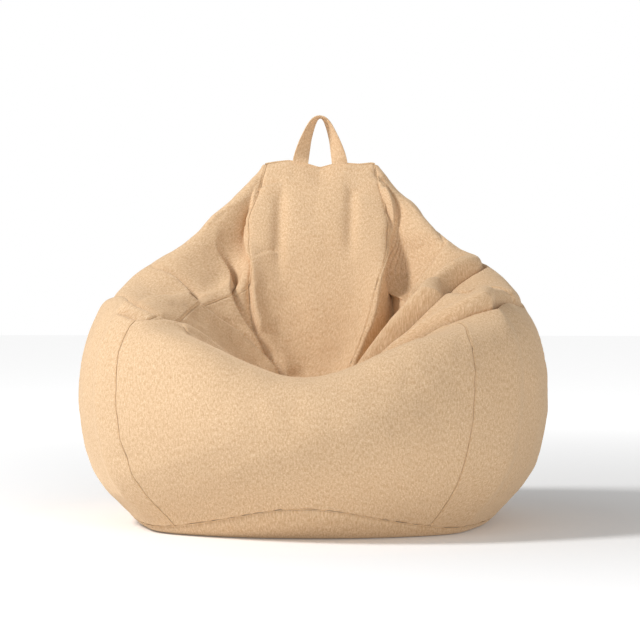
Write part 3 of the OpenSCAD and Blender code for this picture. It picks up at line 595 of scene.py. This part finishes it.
def nylon(name, base, dark):
    n = Nodes(name)
    grain = n.noise(n.scaled(n.object_place(), 1500, 1500, 1500), 2.0)
    n.set(Base_Color=n.blend(grain, base, dark), Roughness=0.5, Sheen_Weight=0.1)
    n.bump(grain, 0.2, 0.0001)
    return n.material


def beads(name):
    """Loose white beads of 3 to 5 mm pressed together."""
    n = Nodes(name)
    cells = n.add("ShaderNodeTexVoronoi", {"Vector": n.object_place(), "Scale": 240.0})
    # Painted shade: each bead goes greyer towards its edge, where it meets the next bead
    tone = n.blend(n.ramp(cells, 0.3, 0.9), colour(246, 246, 243), colour(205, 205, 200))
    n.set(Base_Color=tone, Roughness=0.6)
    n.bump(n.math("SUBTRACT", 1.0, cells), 0.9, 0.002)
    return n.material


WHEAT, WHEAT_DARK, WHEAT_LIGHT = colour(224, 192, 154), colour(190, 152, 112), colour(240, 216, 184)
cover_cloth = woven("cover_cloth", WHEAT, WHEAT_DARK, WHEAT_LIGHT)
strap_cloth = woven("strap_cloth", WHEAT, WHEAT_DARK, WHEAT_LIGHT, slub=0.8)
seam_thread = woven("seam_thread", colour(224, 192, 150), colour(200, 162, 118), WHEAT_LIGHT,
                    thread=0.0012)
tape_cloth = woven("tape_cloth", colour(212, 180, 134), colour(180, 146, 102),
                   colour(226, 198, 156), thread=0.0008, sheen=0.1)
liner_cloth = woven("liner_cloth", colour(238, 236, 230), colour(214, 211, 204),
                    colour(248, 247, 243), thread=0.0009, sheen=0.1)
coil_nylon = nylon("coil_nylon", colour(208, 172, 124), colour(176, 140, 96))
touch_nylon = nylon("touch_nylon", colour(236, 232, 222), colour(206, 200, 188))
zinc = metal("zinc", (0.62, 0.60, 0.57, 1), 0.28)
bead_white = beads("bead_white")


def dress(piece, material, slot, *nodes, body="bag"):
    piece.data.materials.clear()
    piece.data.materials.append(material)
    if nodes:
        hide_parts(*nodes)
    if body:
        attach(piece, body)
    return piece


# ---------------- the cover's panels
ROWS, PANEL_GAP = 480, 0.25
climbs = rows_between(0.0006, 0.9985, ROWS)
seam_l, seam_r = seam_at(climbs, -1), seam_at(climbs, 1)


def zip_opening(climb):
    """Half the opening between the side panels at the centre back, wide along the zip only."""
    angle = ARC_FIRST + ARC_STEP * climb * STEPS
    return mix(0.6, 6.0, smooth(-22.6, -21.4, angle) * smooth(33.3, 32.1, angle))


LEFT_SEED, RIGHT_SEED, BASE_SEED = 11, 12, 31


def lift_beside(gap, along, seed):
    """The ruffle at each point of a grid, where the gap to the seam is short enough."""
    along = np.broadcast_to(along, gap.shape)
    near = gap < RUFFLE_REACH
    lift = np.zeros_like(gap)
    lift[near] = seam_ruffle(gap[near], along[near], seed)
    return lift[..., None]


def ruffled(grid, seams):
    """Grooves and puckers beside the seams at some of a grid's columns and along its first row."""
    n = normals_of(grid)
    out = grid.copy()
    for column, seed in seams:
        u = lengths_along(grid, 1)
        along = lengths_along(grid, 0)[:, column][:, None]
        out += n * lift_beside(np.abs(u - u[:, column][:, None]) + FIRST_GAP, along, seed)
    gap = lengths_along(out, 0) + FIRST_GAP
    return out + normals_of(out) * lift_beside(gap, lengths_along(out, 1)[0][None], BASE_SEED)


def panel(name, places, seams, node):
    grid = ruffled(panel_grid(climbs, places), seams)
    rows, cols = grid.shape[:2]
    middle = cols // 2
    u = lengths_along(grid, 1)
    u -= u[:, middle : middle + 1]
    v = np.broadcast_to(lengths_along(grid, 0)[:, middle : middle + 1], u.shape)
    uv = np.stack([u.ravel(), v.ravel()], 1)
    made = mesh_object(name, grid.reshape(-1, 3), grid_faces(rows, cols), uv)
    dress(made, cover_cloth, "cover_fabric", node)
    return made, grid


front_places = columns(climbs, seam_l, seam_r, np.linspace(0, 1, 270), PANEL_GAP,
                       np.full(ROWS, PANEL_GAP))
cover_front, front_grid = panel("cover_front", front_places, [(0, LEFT_SEED), (-1, RIGHT_SEED)],
                                "front_panel")

side_shares = np.concatenate([np.linspace(0, 0.26, 60), np.linspace(0.26, 0.55, 66)[1:],
                              np.linspace(0.55, 1, 74)[1:]])
back, opening = np.full(ROWS, BACK_PLACE), zip_opening(climbs)
right_places = columns(climbs, seam_r, back, side_shares, PANEL_GAP, opening)
left_places = columns(climbs, seam_l, -back, side_shares, PANEL_GAP, opening)[:, ::-1]
cover_right, right_grid = panel("cover_right", right_places, [(0, RIGHT_SEED)], "right_side_panel")
cover_left, left_grid = panel("cover_left", left_places, [(-1, LEFT_SEED)], "left_side_panel")


def closed_sheet(outer, inner):
    """Points and faces of a thin closed sheet between two grids of the same size."""
    rows, cols = outer.shape[:2]
    size = rows * cols
    top = grid_faces(rows, cols)
    rim = np.concatenate([np.arange(cols - 1), np.arange(rows - 1) * cols + cols - 1,
                          size - 1 - np.arange(cols - 1), (rows - 1 - np.arange(rows - 1)) * cols])
    after = np.roll(rim, -1)
    edge = np.stack([after, rim, size + rim, size + after], 1)
    return (np.concatenate([outer.reshape(-1, 3), inner.reshape(-1, 3)]),
            np.concatenate([top, top[:, ::-1] + size, edge]))


def sheet_uv(grid):
    u, v = lengths_along(grid, 1), lengths_along(grid, 0)
    flat = np.stack([u.ravel(), v.ravel()], 1)
    return np.concatenate([flat, flat])


# ---------------- the base panel and the seams
AROUND_COUNT = 480
ring_places = np.linspace(-BACK_PLACE, BACK_PLACE, AROUND_COUNT, endpoint=False)
seam_ring, _ = skin(np.zeros(AROUND_COUNT), ring_places)


def base_inset(edge):
    """How far inside the base seam the flat patch on the floor begins."""
    return BASE_TURN + 0.9 * (edge[:, 2] - SEAM_LOW)


def base_ring(edge, share):
    """A ring of the base, a share of the way from the base seam to the flat patch on the floor."""
    distance = np.linalg.norm(edge[:, :2], axis=1)
    rest = edge[:, :2] * ((distance - base_inset(edge)) / distance)[:, None]
    flat = mix(edge[:, :2], rest, share)
    return np.concatenate([flat, (edge[:, 2] * (1 - share) ** 2)[:, None]], 1)


def level(ring):
    """Directions straight out from the bag's middle, level with the floor."""
    return ring / np.linalg.norm(ring * (1, 1, 0), axis=1, keepdims=True) * (1, 1, 0)


GROOVE_DEPTH, GROOVE_REACH = 2.2, 2.4
shares = np.concatenate([[0.012, 0.03, 0.055, 0.09, 0.14, 0.2], np.linspace(0.27, 1, 12)])
base_rows = [base_ring(seam_ring, s) for s in shares]
for s, row in zip(shares, base_rows):
    gap = s * base_inset(seam_ring)
    row -= level(row) * (GROOVE_DEPTH * np.exp(-((gap / GROOVE_REACH) ** 2)))[:, None]
patch = base_rows[-1]
base_rows += [patch * (k, k, 1) for k in (0.97, 0.9, 0.75, 0.5, 0.25, 0.08, 0.004)]
base_points = np.array(base_rows).reshape(-1, 3)
base_faces = grid_faces(len(base_rows), AROUND_COUNT, closed=True, flip=True)
cover_base = mesh_object("cover_base", base_points, base_faces, base_points[:, :2])
dress(cover_base, cover_cloth, "cover_fabric", "base_panel")


def smoothed(path, turns):
    path = path.copy()
    for _ in range(turns):
        path[1:-1] = 0.5 * path[1:-1] + 0.25 * (path[2:] + path[:-2])
    return path


STITCH_LENGTH, SEAM_STEP = 4.2, 1.6
SEAM_RADIUS, BACK_SEAM_RADIUS, TOP_SEAM_RADIUS = 0.95, 1.15, 1.5


def seam(name, path, lift, radius, node):
    """A sewn edge: a thin ridge of the two folded edges, drawn together at each stitch."""
    length = distances(path)
    even = np.linspace(0, length[-1], int(length[-1] / SEAM_STEP))
    stitch = 0.5 + 0.5 * np.cos(even * 2 * math.pi / STITCH_LENGTH)
    line = resampled(even, length, path)
    line += resampled(even, length, lift) * (0.9 + 0.22 * stitch)[:, None]
    dress(tube(name, line, radius * (0.85 + 0.22 * stitch), 8), seam_thread, "seam_fabric", node)


def between(a, b):
    return smoothed((a + b) / 2, 3)


front_normal = normals_of(front_grid)
seam("seam_right", between(front_grid[:, -1], right_grid[:, 0]), front_normal[:, -3], SEAM_RADIUS,
     "right_seam")
seam("seam_left", between(front_grid[:, 0], left_grid[:, -1]), front_normal[:, 2], SEAM_RADIUS,
     "left_seam")
back_line = between(right_grid[:, -1], left_grid[:, 0])
back_rise = normals_of(right_grid)[:, -3]
row_angles = climbs * STEPS * ARC_STEP
below_zip, above_zip = row_angles < -22.2 - ARC_FIRST, row_angles > 33.0 - ARC_FIRST
for word, run in (("lower", below_zip), ("upper", above_zip)):
    seam(f"seam_back_{word}", back_line[run], back_rise[run], BACK_SEAM_RADIUS, f"back_seam_{word}")
outward = level(seam_ring) + (0, 0, -0.25)
outward = np.concatenate([outward, outward[:1]])
loop = np.concatenate([seam_ring, seam_ring[:1]])
seam("seam_base", loop - outward * 1.2, outward * 0.9, SEAM_RADIUS, "base_seam")
top_x = np.linspace(-112, 112, 140)
top_line = np.stack([top_x, 0 * top_x + TOP_Y, HEIGHT - 1.4 + top_rise(top_x)], 1)
seam("seam_top", smoothed(top_line, 8), np.tile([0, 0, 1.0], (len(top_x), 1)), TOP_SEAM_RADIUS,
     "top_seam")

# ---------------- the carrying strap
STRAP_HEIGHT, STRAP_HALF, STRAP_FOOT = 99.0, 40.5, 697.2
# Half of the strap, as (share of half its width, share of its height, degrees it has turned)
STRAP_SHAPE = [(1, 0, 0), (0.98, 0.10, 8), (0.87, 0.30, 30), (0.74, 0.50, 47), (0.58, 0.68, 58),
               (0.44, 0.82, 65), (0.28, 0.93, 74), (0.12, 0.99, 84), (0, 1, 90)]
STRAP_WIDTH, STRAP_THICK, TAIL, TAIL_POINTS = 32.0, 3.0, 13.0, 7


def strap_line(count):
    """The strap's middles, directions across it and directions along it, from tail to tail."""
    half = np.array(STRAP_SHAPE)
    shape = np.concatenate([half * (-1, 1, 1), half[-2::-1]])
    at = distances(shape[:, :2] * (STRAP_HALF, STRAP_HEIGHT))
    even = np.linspace(0, at[-1], count)
    x, rise, twist = (smoothed(np.interp(even, at, shape[:, k]), 24) for k in range(3))
    arch = np.stack([STRAP_HALF * x, 0 * x + TOP_Y,
                     STRAP_FOOT + STRAP_HEIGHT * rise / rise.max()], 1)
    tail = np.linspace(TAIL, 1, TAIL_POINTS)[:, None] * [[0, 0, -1.0]]
    straight = np.zeros(TAIL_POINTS)
    turn = np.concatenate([straight, np.radians(twist), straight])
    line = smoothed(np.concatenate([arch[:1] + tail, arch, arch[-1:] + tail[::-1]]), 4)
    along = unit(np.gradient(line, axis=0))
    flat = np.stack([along[:, 2], 0 * turn, -along[:, 0]], 1)
    across = np.cos(turn)[:, None] * flat + np.sin(turn)[:, None] * [[0, 1.0, 0]]
    half = len(line) // 2
    across[half:] = (across[::-1] * (-1, 1, 1))[half:]
    return line, across, along


strap_points, strap_across, strap_along = strap_line(150)
strap_through = unit(np.cross(strap_across, strap_along))
# The strap is a strip folded in and sewn: two soft layers with rounded edges, and a line of
# stitches each side. Half its outline, as shares of half its width and half its thickness:
PROFILE = [(1.0, 0.0), (0.985, 0.55), (0.93, 0.9), (0.86, 0.98), (0.82, 0.78), (0.78, 0.98),
           (0.6, 1.08), (0.3, 1.1), (0.0, 1.06), (-0.3, 1.1), (-0.6, 1.08), (-0.78, 0.98),
           (-0.82, 0.78), (-0.86, 0.98), (-0.93, 0.9), (-0.985, 0.55)]
profile = np.array(PROFILE + [(-a, -b) for a, b in PROFILE])
sway = np.sin(np.linspace(0, 9, len(strap_points))) * 0.5
reach_across = profile[None, :, :1] * (STRAP_WIDTH / 2 + 0.25 * sway)[:, None, None]
cupped = (sway * 0.6)[:, None, None] * (1 - profile[None, :, :1] ** 2)
strap_grid = (strap_points[:, None] + reach_across * strap_across[:, None]
              + profile[None, :, 1:] * STRAP_THICK / 2 * strap_through[:, None]
              + cupped * strap_through[:, None])
rows, cols = strap_grid.shape[:2]
around = distances(profile * (STRAP_WIDTH / 2, STRAP_THICK / 2))
strap_uv = np.stack([np.tile(around, rows), np.repeat(distances(strap_points), cols)], 1)
strap = mesh_object("strap", strap_grid.reshape(-1, 3), grid_faces(rows, cols, closed=True),
                    strap_uv)
dress(strap, strap_cloth, "strap_fabric", "handle_strap", "handle_tails", body=None)


THREAD_LENGTH, THREAD_GAP, THREAD_RADIUS, THREAD_RISE = 2.8, 1.0, 0.3, 0.25
THREAD_SIDES, THREAD_RINGS = 6, 7


def stitches(name, lines):
    """Rows of single stitches, short rounded threads, along lines of (points, directions out)."""
    all_points = []
    shape = np.sin(np.linspace(0.12, math.pi - 0.12, THREAD_RINGS)) ** 0.5
    for points, out in lines:
        along = distances(points)
        for begin in np.arange(THREAD_GAP, along[-1] - THREAD_LENGTH, THREAD_LENGTH + THREAD_GAP):
            at = np.linspace(begin, begin + THREAD_LENGTH, THREAD_RINGS)
            rise = resampled(at, along, out)
            line = resampled(at, along, points) + rise * (THREAD_RISE * shape)[:, None]
            side = np.cross(unit(np.gradient(line, axis=0)), rise)
            all_points.append(rings_round(line, side, rise, THREAD_RADIUS * shape, THREAD_SIDES))
    one = grid_faces(THREAD_RINGS, THREAD_SIDES, closed=True, flip=True)
    faces = [one + k * THREAD_RINGS * THREAD_SIDES for k in range(len(all_points))]
    points = np.concatenate(all_points)
    return mesh_object(name, points, np.concatenate(faces), points[:, :2])


FOOT_POINTS = 9
edge_lines = []
for side in (-1, 1):
    for face in (-1, 1):
        line = (strap_points + strap_across * (0.82 * side * STRAP_WIDTH / 2)
                + strap_through * (0.80 * face * STRAP_THICK / 2))
        edge_lines.append((line[FOOT_POINTS:-FOOT_POINTS],
                           face * strap_through[FOOT_POINTS:-FOOT_POINTS]))
strap_stitches = stitches("strap_stitches", edge_lines)
dress(strap_stitches, seam_thread, "strap_fabric", body=None)
for piece in (strap, strap_stitches):
    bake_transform(piece)

# ---------------- the zip
ZIP_LOW, ZIP_HIGH, END_TAPE = -20.0, 30.93, 1.78
COIL_DEPTH, COIL_RADIUS, COIL_OFFSET, WIRE_RADIUS, COIL_INSET = 1.85, 1.2, 1.95, 0.33, 0.03
COIL_TURNS, TURN_STEPS = 250, 12
TAPE_DEPTH, TAPE_THICK, TAPE_NEAR, TAPE_WIDTH = 2.55, 0.6, 3.2, 13.0


def back_arc(angle, x, depth):
    """Points on the centre back's arc: angle in degrees, x across, depth inside the skin."""
    a, radius = np.radians(angle), ARC_RADIUS - depth
    y, z = ARC_Y + radius * np.cos(a), ARC_Z + radius * np.sin(a)
    return np.stack(np.broadcast_arrays(x, y, z), -1)


for side, word in ((-1, "left"), (1, "right")):
    angle, across = np.meshgrid(np.linspace(ZIP_LOW - END_TAPE, ZIP_HIGH + END_TAPE, 300),
                                np.linspace(0, 1, 14), indexing="ij")
    wave = 0.12 * np.sin(angle * 2.1 + side) * across**2
    ribs = 0.05 * np.cos(across * 40)
    x = side * (TAPE_NEAR + TAPE_WIDTH * across)
    outer = back_arc(angle, x, TAPE_DEPTH - ribs + wave + 0.05)
    inner = back_arc(angle, x, TAPE_DEPTH + TAPE_THICK + wave)
    if side < 0:
        outer, inner = outer[:, ::-1], inner[:, ::-1]
    points, faces = closed_sheet(outer, inner)
    dress(mesh_object(f"tape_{word}", points, faces, sheet_uv(outer)), tape_cloth, "zip_tape",
          f"zip_tape_{word}")
    # one wire wound into the coil's teeth
    t = np.arange(COIL_TURNS * TURN_STEPS) / TURN_STEPS
    phase = 2 * math.pi * t
    bulge = COIL_RADIUS - 0.34
    path = back_arc(ZIP_LOW + COIL_INSET + (ZIP_HIGH - ZIP_LOW - 2 * COIL_INSET) * t / COIL_TURNS,
                    side * (COIL_OFFSET - 0.1 - bulge * 1.05 * np.cos(phase)),
                    COIL_DEPTH + bulge * 0.8 * np.sin(phase))
    dress(tube(f"coil_{word}", path, WIRE_RADIUS, 6), coil_nylon, "zip_coil", f"zip_coil_{word}")

# ---------------- the liner and the beads
INNER_ROWS, INNER_FRONT, INNER_BACK, INNER_TURN = 150, 140, 40, 4.6
LINER_DEPTHS, FILL_DEPTH, FILL_FLOOR, FILL_CLIMB = (4.2, 5.0), 6.4, 6.0, 0.92
inner_climbs = np.linspace(0.004, 0.955, INNER_ROWS)
inner_places = np.concatenate([np.linspace(-BACK_PLACE, -INNER_TURN, INNER_BACK),
                               np.linspace(-INNER_TURN, INNER_TURN, INNER_FRONT)[1:-1],
                               np.linspace(INNER_TURN, BACK_PLACE, INNER_BACK)])
cc, pp = (a.ravel() for a in np.meshgrid(inner_climbs, inner_places, indexing="ij"))
smooth_points, smooth_normals = skin(cc, pp)
shape = (INNER_ROWS, len(inner_places))
sunk = np.einsum("ak,ak->a", relief(cc, pp) - smooth_points, smooth_normals).reshape(shape)


def spread_low(field, up, across):
    """Each value becomes the lowest near it, so that a coarse layer stays under every crease."""
    for axis, reach in ((0, up), (1, across)):
        field = np.min([np.roll(field, k, axis) for k in range(-reach, reach + 1)], axis=0)
    return field


def softened(field, turns):
    for _ in range(turns):
        for axis in (0, 1):
            lined = np.pad(np.swapaxes(field, 0, axis), [(1, 1), (0, 0)], mode="edge")
            field = 0.5 * field + 0.25 * np.swapaxes(lined[:-2] + lined[2:], 0, axis)
    return field


low_sunk = 1.1 * softened(np.minimum(spread_low(sunk, 3, 9), 0), 2)
low_sunk -= 16 * smooth(-25, -50, low_sunk)  # clear of the bottoms of the deepest folds
behind_zip = 3.0 * smooth(6.55, 6.8, np.abs(inner_places))[None]


def inner_grid(depth):
    points = smooth_points + smooth_normals * (low_sunk - depth - behind_zip).reshape(-1, 1)
    return points.reshape(shape + (3,))


middle = shape[1] // 2
for word, part in (("left", slice(0, middle + 1)), ("right", slice(middle, shape[1]))):
    outer, inner = (inner_grid(depth)[:, part] for depth in LINER_DEPTHS)
    points, faces = closed_sheet(outer, inner)
    dress(mesh_object(f"liner_cloth_{word}", points, faces, sheet_uv(outer)), liner_cloth,
          "liner_fabric", f"liner_{word}")


def shrunk(ring, factors):
    """Rings drawn in towards the middle of a ring, which close its end."""
    middle_point = ring.mean(0)
    return [middle_point + (ring - middle_point) * k for k in factors]


CLOSING = (0.94, 0.8, 0.6, 0.4, 0.2, 0.05, 0.003)


def base_layer(depth, lift):
    """Rings of a layer that lies a given depth inside the base, from its edge to its middle."""
    rings = []
    for share in np.linspace(0.02, 1, 12):
        ring = base_ring(seam_ring[::2], share)
        size = np.linalg.norm(ring[:, :2], axis=1, keepdims=True)
        ring[:, :2] *= 1 - (depth + 2.5) / size
        ring[:, 2] += lift
        rings.append(ring)
    return np.array(rings + shrunk(rings[-1], CLOSING))


upper, lower = base_layer(5.0, 4.4), base_layer(4.4, 3.6)
rows, cols = upper.shape[:2]
size = rows * cols
one_side = grid_faces(rows, cols, closed=True)
j = np.arange(cols)
k = (j + 1) % cols
rim_faces = np.stack([size + j, size + k, k, j], 1)
points = np.concatenate([upper.reshape(-1, 3), lower.reshape(-1, 3)])
faces = np.concatenate([one_side, one_side[:, ::-1] + size, rim_faces])
liner_base = mesh_object("liner_cloth_base", points, faces, points[:, :2])
dress(liner_base, liner_cloth, "liner_fabric", "liner_base")

wall = inner_grid(FILL_DEPTH)[: int(np.searchsorted(inner_climbs, FILL_CLIMB)), :-1]
wall[:, :, 2] = np.maximum(wall[:, :, 2], FILL_FLOOR)
under = base_ring(skin(np.zeros(len(inner_places) - 1), inner_places[:-1])[0], 1.0)
under = under * (1 - 10 / np.linalg.norm(under[:, :2], axis=1, keepdims=True)) + (0, 0, FILL_FLOOR)
floor_rings = shrunk(under, CLOSING)[::-1] + [under]
crown = [ring + (0, 0, 1.5 * (1 - k)) for ring, k in zip(shrunk(wall[-1], CLOSING), CLOSING)]
stack = np.array(floor_rings + list(wall) + crown)
rows, cols = stack.shape[:2]
points = stack.reshape(-1, 3)
fill = mesh_object("beads", points, grid_faces(rows, cols, closed=True), points[:, :2])
dress(fill, bead_white, "bead_fill", "bead_fill")

TOUCH_HALF, TOUCH_LOW, TOUCH_HIGH, TOUCH_HOOK_Y, TOUCH_LOOP_Y = 75, 670, 681, 226.75, 228.1
for word, low_y in (("hook", TOUCH_HOOK_Y), ("loop", TOUCH_LOOP_Y)):
    x, z = np.meshgrid(np.linspace(-TOUCH_HALF, TOUCH_HALF, 120),
                       np.linspace(TOUCH_LOW, TOUCH_HIGH, 12), indexing="ij")
    flat = np.stack([x.ravel(), z.ravel(), 0 * z.ravel()], 1)
    fuzz = 0.06 * waves(flat, 3, 21).reshape(x.shape)
    near, far = (np.stack([x, y, z], -1)[:, ::-1]
                 for y in (low_y + 0.12 + fuzz, low_y + 1.05 + 0 * x))
    points, faces = closed_sheet(near, far)
    dress(mesh_object(f"touch_tape_{word}", points, faces, points[:, ::2]), touch_nylon,
          "touch_tape", f"liner_{word}_strip")

# ---------------- rigid CAD nodes keep their shape
EDGE_WIDTHS = {"zip_slider": 0.22, "zip_pull": 0.25, "zip_top_stop": 0.3, "zip_bottom_stop": 0.3}
for node, width in EDGE_WIDTHS.items():
    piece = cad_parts[node]
    edge = piece.modifiers.new("edge", "BEVEL")
    edge.width, edge.segments, edge.limit_method = width * MM, 3, "ANGLE"
    piece.data.materials.clear()
    piece.data.materials.append(zinc)


# ---------------- the stage, the lights and the camera
# These are in metres
FLOOR_HALF, FLOOR_Z = 14.0, -0.001
# The floor's painted glow: the distances from the bag where it starts and stops growing, and its
# strength at each
GLOW_FROM, GLOW_TO, GLOW_LOW, GLOW_HIGH = 0.6, 3.2, 0.06, 0.62
WORLD_LIGHT, WORLD_SEEN = 0.34, 1.0
LIT_POINT = (0, 0, 0.35)
CAMERA_PLACE, CAMERA_TARGET = (0.2342, -4.4692, 0.4704), (0.0095, 0.0411, 0.3857)
LENS, SENSOR = 129.6, 36.0

floor_mesh = bpy.data.meshes.new("floor")
signs = (-1, -1), (1, -1), (1, 1), (-1, 1)
corners = [(x * FLOOR_HALF, y * FLOOR_HALF, FLOOR_Z) for x, y in signs]
floor_mesh.from_pydata(corners, [], [(0, 1, 2, 3)])
floor = bpy.data.objects.new("floor", floor_mesh)
bpy.context.scene.collection.objects.link(floor)
# Painted light: the floor glows more the farther it lies from the bag, so the ground far off goes
# white and the floor near the bag stays greyer, a painted soft shadow round it
floor_with_painted_light = Nodes("floor_paint_and_painted_glow")
floor_with_painted_light.set(Base_Color=(0.93, 0.93, 0.93, 1), Roughness=0.9, Specular_IOR_Level=0.1)
away = floor_with_painted_light.add("ShaderNodeVectorMath", {0: floor_with_painted_light.object_place()}, "Value", operation="LENGTH")
floor_with_painted_light.set(Emission_Color=(1, 1, 1, 1),
         Emission_Strength=floor_with_painted_light.ramp(away, GLOW_FROM, GLOW_TO, GLOW_LOW, GLOW_HIGH))
floor_mesh.materials.append(floor_with_painted_light.material)

world = bpy.data.worlds.new("studio")
bpy.context.scene.world = world
world.use_nodes = True
sky = world.node_tree
shine = sky.nodes["Background"]
shine.inputs[0].default_value = (1, 1, 1, 1)
ray = sky.nodes.new("ShaderNodeLightPath")
strength = sky.nodes.new("ShaderNodeMapRange")
strength.inputs[3].default_value, strength.inputs[4].default_value = WORLD_LIGHT, WORLD_SEEN
sky.links.new(ray.outputs["Is Camera Ray"], strength.inputs[0])
sky.links.new(strength.outputs[0], shine.inputs[1])


def aimed(name, data, place, target):
    made = bpy.data.objects.new(name, data)
    made.location = place
    made.rotation_euler = (Vector(target) - made.location).to_track_quat("-Z", "Y").to_euler()
    bpy.context.scene.collection.objects.link(made)
    return made


for name, place, size, power in (("key", (-2.7, -1.1, 2.8), 0.8, 122),
                                 ("fill", (1.8, -3.3, 1.0), 2.0, 38)):
    lamp = bpy.data.lights.new(name, "AREA")
    lamp.shape, lamp.size, lamp.energy = "DISK", size, power
    aimed(name, lamp, place, LIT_POINT)

camera = aimed("camera", bpy.data.cameras.new("camera"), CAMERA_PLACE, CAMERA_TARGET)
bpy.context.scene.camera = camera
camera.data.lens, camera.data.sensor_width = LENS, SENSOR
bpy.context.scene.view_settings.view_transform = "Standard"
